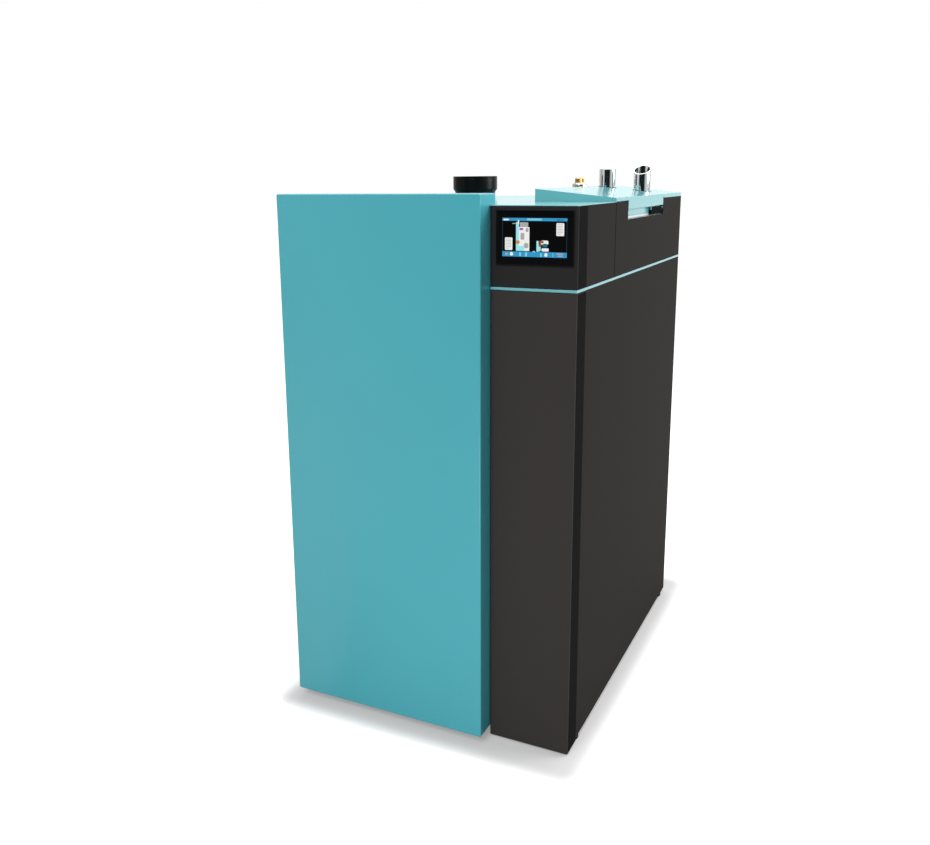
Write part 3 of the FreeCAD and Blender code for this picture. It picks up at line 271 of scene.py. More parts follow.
# %% [markdown]
# ## White surround
# Rays that show things see plain white. The rays that carry light see only a weak white, which
# fills the shadows a little, as a white room does.

# %% White surround
FILL = 0.34
world = bpy.data.worlds.new("studio")
bpy.context.scene.world = world
world.use_nodes = True
tree = world.node_tree
tree.nodes.clear()
shown, seen_colour = seen_straight(tree, add(tree, "ShaderNodeTexCoord").outputs["Generated"])
fill = add(tree, "ShaderNodeBackground", {"Color": linear("#FFFFFF"), "Strength": FILL})
white = add(tree, "ShaderNodeBackground", {"Strength": 1.0}, {"Color": seen_colour})
mixed = add(tree, "ShaderNodeMixShader", links={0: shown, 1: fill.outputs[0], 2: white.outputs[0]})
add(tree, "ShaderNodeOutputWorld", links={"Surface": mixed.outputs[0]})
bpy.context.scene.view_settings.view_transform = "Standard"
print("white surround, with a fill of", FILL)

# %% [markdown]
# ## Powder coat, teal and charcoal
# The cabinet is folded from 2 mm steel sheet and powder coated: charged polyester powder is baked on and
# flows out, but never quite level, so the film keeps an orange-peel ripple about 1.5 mm across. Gloss is
# medium. The ripple is noise through a bump, and a wider noise shifts the shade by a percent or two, as
# thickness varies. The charcoal is a fine-structure coat: duller, with a finer grit. The column's front and
# its head take two more shades of the same charcoal: lighter on the front, which is painted light, and darker
# on the head, which is painted shade. The lid, the top covers and the trim take a lighter and glossier copy
# of the door's teal: the lighter colour is a painted highlight, for how they whiten where the light grazes
# them. A near-black coat is painted shade on the column's corner and side seam, and is also the latch's own
# black.

# %% Powder coats
def powder_coat(name, colour, gloss, peel, depth, drift, shine):
    """Noise with cells of one peel width drives the bump, and noise 400 mm wide mixes the colour
    with a slightly darker one."""
    material, tree, shader, place = start(name)
    broad = add(tree, "ShaderNodeTexNoise", {"Scale": per_mm(400), "Detail": 2.0}, {"Vector": place})
    shade = add(tree, "ShaderNodeMapRange",
                {"From Min": 0.35, "From Max": 0.65, "To Min": 0.0, "To Max": drift},
                {"Value": broad.outputs["Fac"]})
    colour_mix = add(tree, "ShaderNodeMix", {"A": linear(colour), "B": linear("#202626")},
                     {"Factor": shade.outputs[0]}, data_type="RGBA")
    fine = add(tree, "ShaderNodeTexNoise", {"Scale": per_mm(peel), "Detail": 2.0, "Roughness": 0.6},
               {"Vector": place})
    dull = add(tree, "ShaderNodeMapRange", {"To Min": gloss - 0.04, "To Max": gloss + 0.04},
               {"Value": fine.outputs["Fac"]})
    ripple = add(tree, "ShaderNodeBump", {"Strength": 0.35, "Distance": depth * MM},
                 {"Height": fine.outputs["Fac"]})
    settle(tree, shader, {"IOR": 1.5, "Specular IOR Level": shine},
           {"Base Color": colour_mix.outputs["Result"], "Roughness": dull.outputs[0],
            "Normal": ripple.outputs["Normal"]})
    return material


teal_coat = powder_coat("polyester_powder_coat_teal", "#47A3AF", 0.20, 1.5, 0.06, 0.03, 0.5)
# A lighter copy of the teal: painted highlight on the lid, the covers and the trim.
highlight_teal_coat = powder_coat("glossy_teal_coat_painted_highlight", "#67AEB4", 0.15, 1.5, 0.05, 0.03, 1.0)
charcoal_coat = powder_coat("fine_structure_powder_coat_charcoal", "#2F2D2C", 0.62, 0.8, 0.10, 0.04, 0.004)
# Two more shades of the charcoal: lighter on the column's front, painted light, and darker on its head,
# painted shade.
painted_light_charcoal_coat = powder_coat("satin_charcoal_painted_light", "#353231", 0.55, 1.2, 0.08, 0.03, 0.06)
painted_shade_charcoal_coat = powder_coat("satin_charcoal_painted_shade", "#262526", 0.55, 1.2, 0.08, 0.03, 0.06)
# Near-black: painted shade on the column's corner and the side seam, and the latch's own black.
black_coat_and_painted_shade = powder_coat("matt_black_and_painted_shade", "#1E1E1F", 0.70, 0.8, 0.08, 0.03, 0.0)
print("powder coats:", teal_coat.name, "and", charcoal_coat.name)

# %% [markdown]
# ## Galvanised and zinc-plated steel
# Hidden sheet is left galvanised: molten zinc froze on it in crystals, or spangles, 8 to 15 mm
# across, each a slightly different grey and gloss. Voronoi cells are just that. Small fasteners and
# hinges are electroplated instead, which is smoother and a little blue.

# %% Galvanised and zinc-plated steel
def metal(name, colour, dull, bright, grain, stretch=(1, 1, 1), bump=0.02, strength=0.2):
    """A bare metal: stretched noise moves the roughness between two values and gives a faint
    bump. The default IOR is kept, and Metallic is 1."""
    material, tree, shader, place = start(name)
    lie = add(tree, "ShaderNodeMapping", {"Scale": stretch}, {"Vector": place})
    noise = add(tree, "ShaderNodeTexNoise", {"Scale": per_mm(grain), "Detail": 4.0},
                {"Vector": lie.outputs[0]})
    rough = add(tree, "ShaderNodeMapRange",
                {"From Min": 0.3, "From Max": 0.7, "To Min": bright, "To Max": dull},
                {"Value": noise.outputs["Fac"]})
    relief = add(tree, "ShaderNodeBump", {"Strength": strength, "Distance": bump * MM},
                 {"Height": noise.outputs["Fac"]})
    settle(tree, shader, {"Base Color": linear(colour), "Metallic": 1.0},
           {"Roughness": rough.outputs[0], "Normal": relief.outputs["Normal"]})
    return material


SPANGLE = 11
galvanised, tree, shader, place = start("galvanised_sheet_spangled")
cells = add(tree, "ShaderNodeTexVoronoi", {"Scale": per_mm(SPANGLE)}, {"Vector": place})
grey = add(tree, "ShaderNodeSeparateColor", links={"Color": cells.outputs["Color"]})
shades = add(tree, "ShaderNodeMix", {"A": linear("#A4A9AB"), "B": linear("#C6CACB")},
             {"Factor": grey.outputs["Red"]}, data_type="RGBA")
gloss = add(tree, "ShaderNodeMapRange", {"To Min": 0.34, "To Max": 0.52}, {"Value": grey.outputs["Green"]})
settle(tree, shader, {"Metallic": 1.0},
       {"Base Color": shades.outputs["Result"], "Roughness": gloss.outputs[0]})

zinc = metal("zinc_plated_steel", "#C3C8CC", 0.38, 0.24, 3)
print("spangle of", SPANGLE, "mm; zinc plate for small parts")

# %% [markdown]
# ## Chromed tube, stainless steel, brass and heat-tinted steel
# The two stubs are bright-chromed tube, almost a mirror, so they show the white room with a dark
# streak. Stainless parts are brushed: the scratches run along the piece, so the noise is
# stretched 30 to 1. Turned brass is warm, with fine lathe marks. The burner tube has been hot:
# its mouth goes through straw and brown to blue, so its colour is a ramp along its length.

# %% Bright metals
chrome = metal("bright_chromed_tube", "#E4E6E6", 0.09, 0.04, 40)
stainless = metal("brushed_stainless_steel", "#B9B7B2", 0.36, 0.24, 0.9, (30, 30, 1), 0.01)
nickel = metal("nickel_plated_brass", "#D9D4C6", 0.30, 0.16, 1.5)
brass = metal("turned_brass", "#DDB978", 0.30, 0.18, 1.2, (1, 1, 6), 0.02)

burner_low, burner_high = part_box("burner_tube")
heat_tint = metal("heat_tinted_stainless_steel", "#A9A296", 0.42, 0.28, 2, (1, 8, 8), 0.02)
tree = heat_tint.node_tree
place = tree.nodes["Texture Coordinate"].outputs["Object"]
along = add(tree, "ShaderNodeSeparateXYZ", links={"Vector": place})
reach = add(tree, "ShaderNodeMapRange", {"From Min": burner_low.x, "From Max": burner_high.x},
            {"Value": along.outputs["X"]})
tint = add(tree, "ShaderNodeValToRGB", links={"Fac": reach.outputs[0]})
for end, code in zip(tint.color_ramp.elements, ("#4B5A78", "#A9A59C")):
    end.color = linear(code)
for at, code in ((0.18, "#6A5566"), (0.36, "#8A6A4A"), (0.6, "#A8946C")):
    tint.color_ramp.elements.new(at).color = linear(code)
tree.links.new(tint.outputs["Color"], tree.nodes["Principled BSDF"].inputs["Base Color"])
print("bright metals:", chrome.name, stainless.name, brass.name, heat_tint.name)

# %% [markdown]
# ## Boiler plate, cast iron and enamel
# The boiler body is welded from hot-rolled plate with a thin grey primer, mottled where the mill
# scale shows through. Cast doors carry the print of the sand, about 1 mm coarse. The flue collar,
# motors and fan casings are coated: matt black stove enamel and a grey hammer finish.

# %% Painted and cast metals
def coated(name, low, high, patch, dull, bright, grit, depth, metallic=0.0, strength=0.4, shine=0.5):
    """A paint or skin: noise one patch wide mixes two colours, and noise one grit wide gives the
    roughness and the bump."""
    material, tree, shader, place = start(name)
    broad = add(tree, "ShaderNodeTexNoise", {"Scale": per_mm(patch), "Detail": 5.0}, {"Vector": place})
    spread = add(tree, "ShaderNodeMapRange", {"From Min": 0.38, "From Max": 0.62},
                 {"Value": broad.outputs["Fac"]})
    hues = add(tree, "ShaderNodeMix", {"A": linear(low), "B": linear(high)}, {"Factor": spread.outputs[0]},
               data_type="RGBA")
    fine = add(tree, "ShaderNodeTexNoise", {"Scale": per_mm(grit), "Detail": 3.0}, {"Vector": place})
    rough = add(tree, "ShaderNodeMapRange", {"To Min": bright, "To Max": dull},
                {"Value": fine.outputs["Fac"]})
    relief = add(tree, "ShaderNodeBump", {"Strength": strength, "Distance": depth * MM},
                 {"Height": fine.outputs["Fac"]})
    settle(tree, shader, {"Metallic": metallic, "Specular IOR Level": shine},
           {"Base Color": hues.outputs["Result"], "Roughness": rough.outputs[0],
            "Normal": relief.outputs["Normal"]})
    return material


boiler_plate = coated("primed_hot_rolled_plate", "#4E5355", "#5F6567", 60, 0.70, 0.50, 1.5, 0.15)
cast_iron = coated("sand_cast_iron", "#2B2C2D", "#3A3A3A", 15, 0.72, 0.48, 1.0, 0.35, 0.3, 0.7)
black_enamel = coated("matt_black_stove_enamel", "#040404", "#080808", 30, 0.34, 0.26, 1.0, 0.03, shine=0.12)
motor_paint = coated("grey_hammer_finish", "#6F7679", "#858C8F", 4, 0.42, 0.26, 3.0, 0.25, 0.2)
sooty_plate = coated("soot_darkened_plate", "#221E1B", "#3A332D", 40, 0.90, 0.70, 2.0, 0.30)
print("coated metals ready")

# %% [markdown]
# ## Plastics, rubber, mineral wool and glass
# Housings and knobs are moulded ABS with a spark-eroded texture about 0.5 mm coarse. Seals are EPDM rubber
# and glass rope. The insulation is mineral wool: yellow-brown fibres lying in all directions, shown as a
# coarse and a fine noise. The display's cover glass is smooth and black from behind.

# %% Plastics, rubber, wool and glass
black_plastic = coated("moulded_abs_black", "#0B0B0D", "#0F1012", 80, 0.50, 0.36, 0.5, 0.05, shine=0.12)
grey_plastic = coated("moulded_abs_grey", "#8E9496", "#989EA0", 80, 0.52, 0.40, 0.5, 0.06)
red_plastic = coated("moulded_polycarbonate_red", "#B8231C", "#C42B22", 60, 0.34, 0.24, 0.5, 0.03)
rubber = coated("epdm_rubber", "#1B1C1D", "#242526", 20, 0.80, 0.62, 0.8, 0.10)
satin_aluminium = metal("satin_anodised_aluminium", "#E4E6E7", 0.34, 0.24, 1.2, (20, 1, 1))
glass_rope = coated("braided_glass_rope", "#C9C3B2", "#B3AC99", 6, 0.95, 0.80, 1.2, 0.60)
vermiculite = coated("pressed_vermiculite_board", "#8F8064", "#A8997A", 5, 0.95, 0.85, 1.6, 0.6, 0.0, 0.8)
hose_rubber = coated("corrugated_silicone_hose", "#7B3A2E", "#8A4436", 25, 0.60, 0.46, 0.8, 0.10)
wool = coated("mineral_wool", "#9A8A55", "#BCAA70", 9, 0.98, 0.90, 2.5, 2.5, 0.0, 0.9)
foil = metal("crinkled_aluminium_foil", "#CFD1D2", 0.40, 0.22, 14, (1, 1, 1), 1.2, 0.6)

glass, tree, shader, place = start("display_cover_glass")
smear = add(tree, "ShaderNodeTexNoise", {"Scale": per_mm(35), "Detail": 3.0}, {"Vector": place})
polish = add(tree, "ShaderNodeMapRange", {"To Min": 0.05, "To Max": 0.12}, {"Value": smear.outputs["Fac"]})
settle(tree, shader, {"Base Color": linear("#050507"), "IOR": 1.5, "Specular IOR Level": 0.25},
       {"Roughness": polish.outputs[0]})
print("plastics, rubber, wool and glass ready")

# %% [markdown]
# ## A finish for every node of the construction
# Each node gets the finish of its real material. Nodes whose shape is already right keep their
# mesh, and the rest are replaced by better surfaces further down.

# %% Finishes for the construction
FINISHES = {
    teal_coat: ["front_door", "hopper_lid", "hopper_rear_cover", "top_cover", "head_top_cover", "trim_band",
                "grip_ledge"],
    charcoal_coat: ["left_side_panel", "lower_side_panel", "head_side_panel", "upper_side_panel",
                    "service_cover", "head_front", "back_panel"],
    galvanised: ["base_frame", "partition_panel", "front_frame", "hopper", "cyclone", "auger_tube",
                 "burner_housing"],
    zinc: ["levelling_feet", "door_hinges", "lid_hinge", "water_sockets", "fasteners"],
    chrome: ["suction_stub", "return_air_stub"],
    stainless: ["burner_fan_impeller", "flue_fan_impeller", "igniter", "turbulators"],
    heat_tint: ["burner_tube"],
    brass: ["air_vent", "drain_valve"],
    boiler_plate: ["boiler_shell", "ash_drawer", "flue_fan_housing", "feed_auger"],
    sooty_plate: ["firebox"],
    cast_iron: ["fire_door", "burner_grate"],
    black_enamel: ["flue_spigot", "burner_fan_housing"],
    motor_paint: ["suction_turbine", "auger_gearmotor", "grate_actuator", "cleaning_actuator"],
    black_plastic: ["lid_latch", "fire_door_handle", "power_inlet", "door_catch", "main_switch"],
    grey_plastic: ["controller_box"],
    red_plastic: ["drain_lever"],
    rubber: ["lid_seal"],
    hose_rubber: ["drop_hose"],
    wool: ["boiler_insulation"],
    foil: ["front_door_liner"],
    glass: ["touch_display"],
}
for finish, names in FINISHES.items():
    for name in names:
        mesh = frame["nodes"][name].data
        mesh.materials.clear()
        mesh.materials.append(finish)
unfinished = sorted(set(frame["nodes"]) - {name for names in FINISHES.values() for name in names})
print("finishes:", len(FINISHES), "unfinished nodes:", unfinished)

# %% [markdown]
# ## Shapes as grids of points
# Every new piece is a surface with two parameters: a grid of points worked out all at once, whose
# neighbours make four-sided faces. Round things are a profile turned about an axis, folded sheets
# are a line of bends drawn out along a length, and moulded blocks are stacked rounded rectangles.
# Each function below returns points and faces, and one more function makes the piece of them.

# %% Grids, loops and bends
def mm(*points):
    """Points written in millimetres, as an array in metres."""
    return np.array(points, float) * MM


def grid(points, around=False, kept=None):
    """Points[i, j] as quads between neighbours. around joins the last column to the first, and
    kept says from the middles of the quads which of them stay."""
    index = np.arange(points.shape[0] * points.shape[1]).reshape(points.shape[:2])
    if around:
        index = np.hstack([index, index[:, :1]])
    quads = np.stack([index[:-1, :-1], index[1:, :-1], index[1:, 1:], index[:-1, 1:]], -1).reshape(-1, 4)
    flat = points.reshape(-1, 3)
    if kept is not None:
        quads = quads[kept(flat[quads].mean(1))]
    return flat, quads


def placed(u, v, w, axis, centre=(0, 0, 0)):
    """Points with w along an axis and u, v across it, in x, y, z order, moved to a centre."""
    order = {"x": (w, u, v), "y": (u, w, v), "z": (u, v, w)}[axis]
    return np.stack(np.broadcast_arrays(*order), -1) + np.array(centre)


def rounded_loop(wide, deep, radius, steps=4):
    """A rectangle with round corners about the origin: each corner is a quarter circle whose
    centre lies one radius in from both sides."""
    turn = np.radians(np.linspace(0, 90, steps + 1)[None, :] + np.array([0, 90, 180, 270])[:, None])
    side_u, side_v = np.array([1, -1, -1, 1])[:, None], np.array([1, 1, -1, -1])[:, None]
    u = side_u * (wide / 2 - radius) + radius * np.cos(turn)
    v = side_v * (deep / 2 - radius) + radius * np.sin(turn)
    return np.stack([u, v], -1).reshape(-1, 2)


def bend_line(corners, radius, steps=6):
    """A line with every inner corner rounded: the arc starts radius times the tangent of half the
    turn before the corner, about a centre one radius to the inside."""
    corners = np.array(corners, float)
    line = [corners[:1]]
    for before, corner, after in zip(corners, corners[1:], corners[2:]):
        into, away = (corner - before), (after - corner)
        into, away = into / np.linalg.norm(into), away / np.linalg.norm(away)
        turn = np.arccos(np.clip(into @ away, -1, 1))
        if turn < 0.01:
            line.append(corner[None])
            continue
        inward = away - into * (into @ away)
        inward /= np.linalg.norm(inward)
        first = corner - into * radius * np.tan(turn / 2)
        sweep = np.linspace(0, turn, steps + 1)[:, None]
        line.append(first + inward * radius * (1 - np.cos(sweep)) + into * radius * np.sin(sweep))
    return np.vstack(line + [corners[-1:]])


print("a corner bent with 3 mm:", len(bend_line([(0, 0), (1, 0), (1, 1)], 3 * MM)), "points")

# %% [markdown]
# ## Turned, stacked and drawn-out shapes
# Five kinds of shape are such grids. A lathe turns a profile, a block stacks rounded rectangles, a
# sweep carries a section along a path, a fold draws a bend line out along its height, and a tray is
# a folded pan. They differ only in how the rows are worked out.

# %% Turned, stacked and drawn-out shapes
def turned(profile, centre=(0, 0, 0), axis="z", steps=48, phase=0.0):
    """A lathe shape: a profile of (radius, height) in metres goes once round the axis, so a point
    is (radius cos a, radius sin a, height). With six steps it is a hexagon."""
    radius, height = np.array(profile, float).T[:, :, None]
    angle = np.linspace(0, 2 * np.pi, steps, endpoint=False)[None, :] + phase
    return grid(placed(radius * np.cos(angle), radius * np.sin(angle), height, axis, centre), around=True)


def block(low, high, corner=1.5 * MM, edge=1.0 * MM, axis="z", steps=3):
    """A moulded block between two corners: rounded rectangles are stacked along the axis, drawn
    in by edge (1 - cos a) near both ends, where the height follows edge (1 - sin a), and the
    first and the last shrink to a point."""
    low, high = np.array(low, float), np.array(high, float)
    order = {"x": [1, 2, 0], "y": [0, 2, 1], "z": [0, 1, 2]}[axis]
    wide, deep, tall = (high - low)[order]
    quarter = np.radians(np.linspace(0, 90, steps + 1))
    inset = np.concatenate([edge * (1 - np.sin(quarter)), edge * (1 - np.cos(quarter))])
    level = np.concatenate([-tall / 2 + edge * (1 - np.cos(quarter)),
                            tall / 2 - edge * (1 - np.sin(quarter))])
    loop = rounded_loop(wide, deep, max(corner, edge * 1.001))
    shrink = np.stack([1 - 2 * inset / wide, 1 - 2 * inset / deep], -1)[:, None, :]
    rings = loop[None] * shrink
    rings = np.concatenate([rings[:1] * 0, rings, rings[:1] * 0])
    level = np.concatenate([level[:1], level, level[-1:]])[:, None]
    return grid(placed(rings[..., 0], rings[..., 1], level, axis, (low + high) / 2), around=True)


def swept(path, section, up=(0, 0, 1), closed=False):
    """A section of (side, up) drawn along a path: at each point the side direction is the cross
    product of the path's direction and up, and both ends shrink to their middle."""
    path, section = np.array(path, float), np.array(section, float)
    ahead = np.roll(path, -1, 0) - np.roll(path, 1, 0) if closed else np.gradient(path, axis=0)
    ahead /= np.linalg.norm(ahead, axis=1, keepdims=True)
    side = np.cross(ahead, np.array(up, float))
    side /= np.linalg.norm(side, axis=1, keepdims=True)
    lift = np.cross(side, ahead)
    rows = (path[:, None] + side[:, None] * section[None, :, :1] + lift[:, None] * section[None, :, 1:])
    if closed:
        rows = np.concatenate([rows, rows[:1]])
    else:
        middle = rows.mean(1, keepdims=True) + rows * 0
        rows = np.concatenate([middle[:1], rows, middle[-1:]])
    return grid(rows, around=True)


def ring_section(radius, steps=12):
    """A circle of (side, up), for rods and ropes."""
    angle = np.linspace(0, 2 * np.pi, steps, endpoint=False)
    return np.stack([radius * np.cos(angle), radius * np.sin(angle)], -1)


def joined(*grids):
    """Several grids that close one surface together, as one part."""
    starts = np.cumsum([0] + [len(points) for points, _ in grids])
    return (np.vstack([points for points, _ in grids]),
            np.vstack([quads + first for (_, quads), first in zip(grids, starts)]))


def folded(line, low, high, stops=(), kept=None, axis="z"):
    """One skin of a folded sheet: the bend line is drawn out along an axis, with extra rows at
    the stops so that a cut-out ends on a row."""
    level = np.unique(np.round([low, high, *stops], 6))[:, None]
    return grid(placed(line[None, :, 0], line[None, :, 1], level, axis), kept=kept)


def tray(low, high, bend, levels, stops=(), kept=None):
    """One skin of a folded pan between two corners, its face at the low Y: from the middle of the
    face out to the edge, over a quarter bend, then straight back to each level. The rings are
    rounded rectangles drawn in by the profile, with extra points at the stops up both sides."""
    wide, tall = high[0] - low[0], high[2] - low[2]
    quarter = np.radians(np.linspace(90, 0, 7))
    inset = np.concatenate([bend * (1 - np.cos(quarter)), np.zeros(len(levels))])
    depth = np.concatenate([low[1] + bend * (1 - np.sin(quarter)), levels])
    loop = rounded_loop(wide, tall, bend)
    right = np.array([(wide / 2, z - (low[2] + high[2]) / 2) for z in sorted(stops)]).reshape(-1, 2)
    half = len(loop) // 2
    loop = np.concatenate([loop[:half], right[::-1] * (-1, 1), loop[half:], right])
    shrink = np.stack([1 - 2 * inset / wide, 1 - 2 * inset / tall], -1)[:, None, :]
    rings = loop[None] * np.concatenate([shrink[:1] * 0, shrink])
    depth = np.concatenate([depth[:1], depth])[:, None]
    middle = ((low[0] + high[0]) / 2, 0, (low[2] + high[2]) / 2)
    return grid(placed(rings[..., 0], rings[..., 1], depth, "y", middle), around=True, kept=kept)


print("a 10 mm block has", len(block((0, 0, 0), (0.01,) * 3)[1]), "faces")

# %% [markdown]
# ## From grids to pieces
# A piece joins its grids, closes seams and poles by merging points that meet, and turns its faces outwards. A
# sheet is drawn as one skin and given its wall afterwards, inwards. Every piece rides on the body of the node
# it belongs to, and takes the finish it is given.

# %% Pieces
CABINET_MIDDLE = Vector((0, 0, 0.7))
SHARP_ANGLE, BEVEL_ANGLE, FLAT_ANGLE = math.radians(32), math.radians(35), math.radians(0.5)


def tidied(points, faces, skin):
    """One part with its seams merged and its faces turned outwards. A closed part is turned by the
    sign of its volume about its own middle. An open skin has no inside, so its faces are turned
    away from the middle of the cabinet."""
    middle = Vector(np.mean(points, 0))
    mesh, shell = bpy.data.meshes.new("part"), bmesh.new()
    mesh.from_pydata(points - np.array(middle), [], faces)
    shell.from_mesh(mesh)
    bmesh.ops.remove_doubles(shell, verts=shell.verts, dist=1e-6)
    bmesh.ops.dissolve_degenerate(shell, edges=shell.edges, dist=1e-7)
    bmesh.ops.recalc_face_normals(shell, faces=shell.faces)
    facing = shell.calc_volume(signed=True)
    if skin:
        away = middle - CABINET_MIDDLE
        facing = sum(f.calc_area() * f.normal.dot(f.calc_center_median() + away) for f in shell.faces)
    if facing < 0:
        bmesh.ops.reverse_faces(shell, faces=shell.faces)
    bmesh.ops.translate(shell, verts=shell.verts, vec=middle)
    shell.to_mesh(mesh)
    shell.free()
    return mesh


def finished(piece, finish, node, stands_for):
    """The piece's finish and body, and the nodes it stands for."""
    bpy.context.scene.collection.objects.link(piece)
    piece.data.materials.clear()
    piece.data.materials.append(finish)
    piece.data.shade_smooth()
    piece.data.set_sharp_from_angle(angle=SHARP_ANGLE)
    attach(piece, frame["nodes"][node]["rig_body"])
    if stands_for:
        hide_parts(node)
    return piece


def round_edges(piece, width, steps=2):
    """A bevel on every edge sharper than 35 degrees, with flat faces kept flat."""
    bevel = piece.modifiers.new("rounded_edges", "BEVEL")
    bevel.width = width
    bevel.segments = steps
    bevel.limit_method = "ANGLE"
    bevel.angle_limit = BEVEL_ANGLE
    return piece


def keep_flats(piece):
    """Shading normals weighted by face area, so that flat faces look flat beside round edges."""
    weighted = piece.modifiers.new("flat_faces_stay_flat", "WEIGHTED_NORMAL")
    weighted.weight = 80
    weighted.keep_sharp = True
    return piece


def make(name, finish, node, *parts, stands_for=True, wall=0.0, edge=0.0):
    """A new piece from grids. wall is the thickness that a skin gets inwards, edge the radius
    of its rims."""
    mesh, whole = bpy.data.meshes.new(name), bmesh.new()
    for points, quads in parts:
        part = tidied(points, quads.tolist(), bool(wall))
        whole.from_mesh(part)
        bpy.data.meshes.remove(part)
    whole.to_mesh(mesh)
    whole.free()
    piece = finished(bpy.data.objects.new(name, mesh), finish, node, stands_for)
    if wall:
        solid = piece.modifiers.new("sheet_thickness", "SOLIDIFY")
        solid.thickness = wall
        solid.offset = -1
    if edge:
        round_edges(piece, edge)
    print(f"{name}: {len(mesh.polygons)} faces")
    return keep_flats(piece)


def refined(name, node, finish, edge, steps=2):
    """A copy of a node with its loose triangles joined, flat faces made whole and edges rounded."""
    source = frame["nodes"][node].data
    points = np.empty((len(source.vertices), 3))
    source.vertices.foreach_get("co", points.ravel())
    mesh = tidied(points, [tuple(face.vertices) for face in source.polygons], False)
    mesh.name = name
    shell = bmesh.new()
    shell.from_mesh(mesh)
    bmesh.ops.dissolve_limit(shell, angle_limit=FLAT_ANGLE, verts=shell.verts, edges=shell.edges)
    shell.to_mesh(mesh)
    shell.free()
    piece = round_edges(finished(bpy.data.objects.new(name, mesh), finish, node, True), edge, steps)
    print(f"{name}: {len(mesh.polygons)} faces, edges {edge / MM:.1f} mm")
    return keep_flats(piece)

# %% [markdown]
# ## Front door
# The door is one folded pan of 2 mm sheet, 550 x 1344 mm and 85 mm deep, with its corners welded
# and ground. It could be a box with a bevel, but a real bend has an outside radius of about twice
# the sheet, and the hinge side has a window cut at each end for the hinge brackets. So it is a
# skin that runs over a 3 mm bend, leaves out the faces inside the windows, and then gets its wall.

# %% Front door
BEND, SHEET = 3 * MM, 2 * MM
WINDOW, HINGE_ROOM = 76 * MM, 17 * MM
low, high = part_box("front_door")
window_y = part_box("door_hinges")[0].y - HINGE_ROOM
stops = (low.z + BEND, low.z + WINDOW, high.z - WINDOW, high.z - BEND)


def clear_of_windows(middle):
    """True where a face isn't in one of the hinge side's two windows."""
    x, y, z = middle.T
    at_end = ((z > stops[0]) & (z < stops[1])) | ((z > stops[2]) & (z < stops[3]))
    return ~((x < low.x + MM) & (y > window_y) & at_end)


make("door_pan", teal_coat, "front_door", tray(low, high, BEND, (window_y, high.y), stops, clear_of_windows),
     wall=SHEET, edge=0.4 * MM)

# %% [markdown]
# ## Door liner
# Behind the door's face lies a 25 mm pad of insulation in crinkled foil, held by a row of flat
# pins, and the frame behind it carries a hollow rubber seal. The pad's front is pulled in at every
# pin, so its height is the product of two sine waves: one dimple every 100 mm or so each way.

# %% Door liner
ACROSS, UP, PUFF = 5, 12, 7 * MM
low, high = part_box("front_door_liner")
u, v = np.linspace(0, 1, 61), np.linspace(0, 1, 141)
x, z = low.x + (high.x - low.x) * u[:, None], low.z + (high.z - low.z) * v[None, :]
swell = np.abs(np.sin(ACROSS * np.pi * u))[:, None] * np.abs(np.sin(UP * np.pi * v))[None, :]
back = placed(x, z, high.y - PUFF + PUFF * swell ** 0.4, "y")
front = back * (1, 0, 1) + (0, low.y, 0)

rim = [grid(np.stack([front[i], back[i]])) for i in (0, -1)]
rim += [grid(np.stack([front[:, j], back[:, j]])) for j in (0, -1)]
make("door_liner_pad", foil, "front_door_liner", joined(grid(front), grid(back), *rim))
pins = [turned(mm((0, 0), (9, 0), (8.5, -0.6), (0, -0.6)),
               (low.x + (high.x - low.x) * i / ACROSS, high.y - 6 * MM, low.z + (high.z - low.z) * j / UP),
               "y", 20)
        for i in range(1, ACROSS) for j in range(1, UP)]
make("door_liner_pins", zinc, "front_door_liner", *pins, stands_for=False)

# %% [markdown]
# ## Column, side panels and their bends
# The column cover and the head above it are the same folded profile: a flange back beside the
# door, the front, and a return round the corner. The side panels have a lip along the front
# edge only. Each is a bend line drawn out along its height. The display's cut-out and the grip
# notch fall on extra rows and columns, so the faces inside them can be left out cleanly.

# %% Column covers
def profile_of(node):
    """The column's outer line in plan: back flange, front and corner return, bent with 3 mm."""
    low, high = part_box(node)
    lip_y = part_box("lower_side_panel")[0].y
    return low, high, bend_line([(low.x, high.y), (low.x, low.y), (high.x, low.y), (high.x, lip_y)], BEND)


low, high, line = profile_of("service_cover")
# The column's front takes the lighter charcoal, painted light.
make("column_cover", painted_light_charcoal_coat, "service_cover", folded(line, low.z, high.z), wall=SHEET, edge=0.5 * MM)

glass_low, glass_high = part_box("touch_display")
low, high, line = profile_of("head_front")
MARGIN = 11.7 * MM
cut = ((glass_low.x + MARGIN, glass_high.x - MARGIN), (glass_low.z + MARGIN, glass_high.z - MARGIN))
front = np.flatnonzero(np.isclose(line[:, 1], low.y, atol=1e-6))
line = np.insert(line, front[-1], [(cut[0][0], low.y), (cut[0][1], low.y)], axis=0)


def around_display(middle):
    """True where a face isn't behind the display."""
    x, y, z = middle.T
    return ~((x > cut[0][0]) & (x < cut[0][1]) & (y < low.y + MM) & (z > cut[1][0]) & (z < cut[1][1]))


# The head takes the darker charcoal, painted shade.
make("column_head", painted_shade_charcoal_coat, "head_front", folded(line, low.z, high.z, cut[1], around_display),
     wall=SHEET, edge=0.5 * MM)

# %% [markdown]
# ## Painted shade on the column's corner and side seam
# The column's corner return is covered by a near-black strip as wide as the return, and the seam between the
# two upper side panels by a near-black line: both are painted shade, for the shade on the turning corner and
# in the seam's gap. Both are flat slivers that stand a little proud of the sheet, so that they cover it
# cleanly.

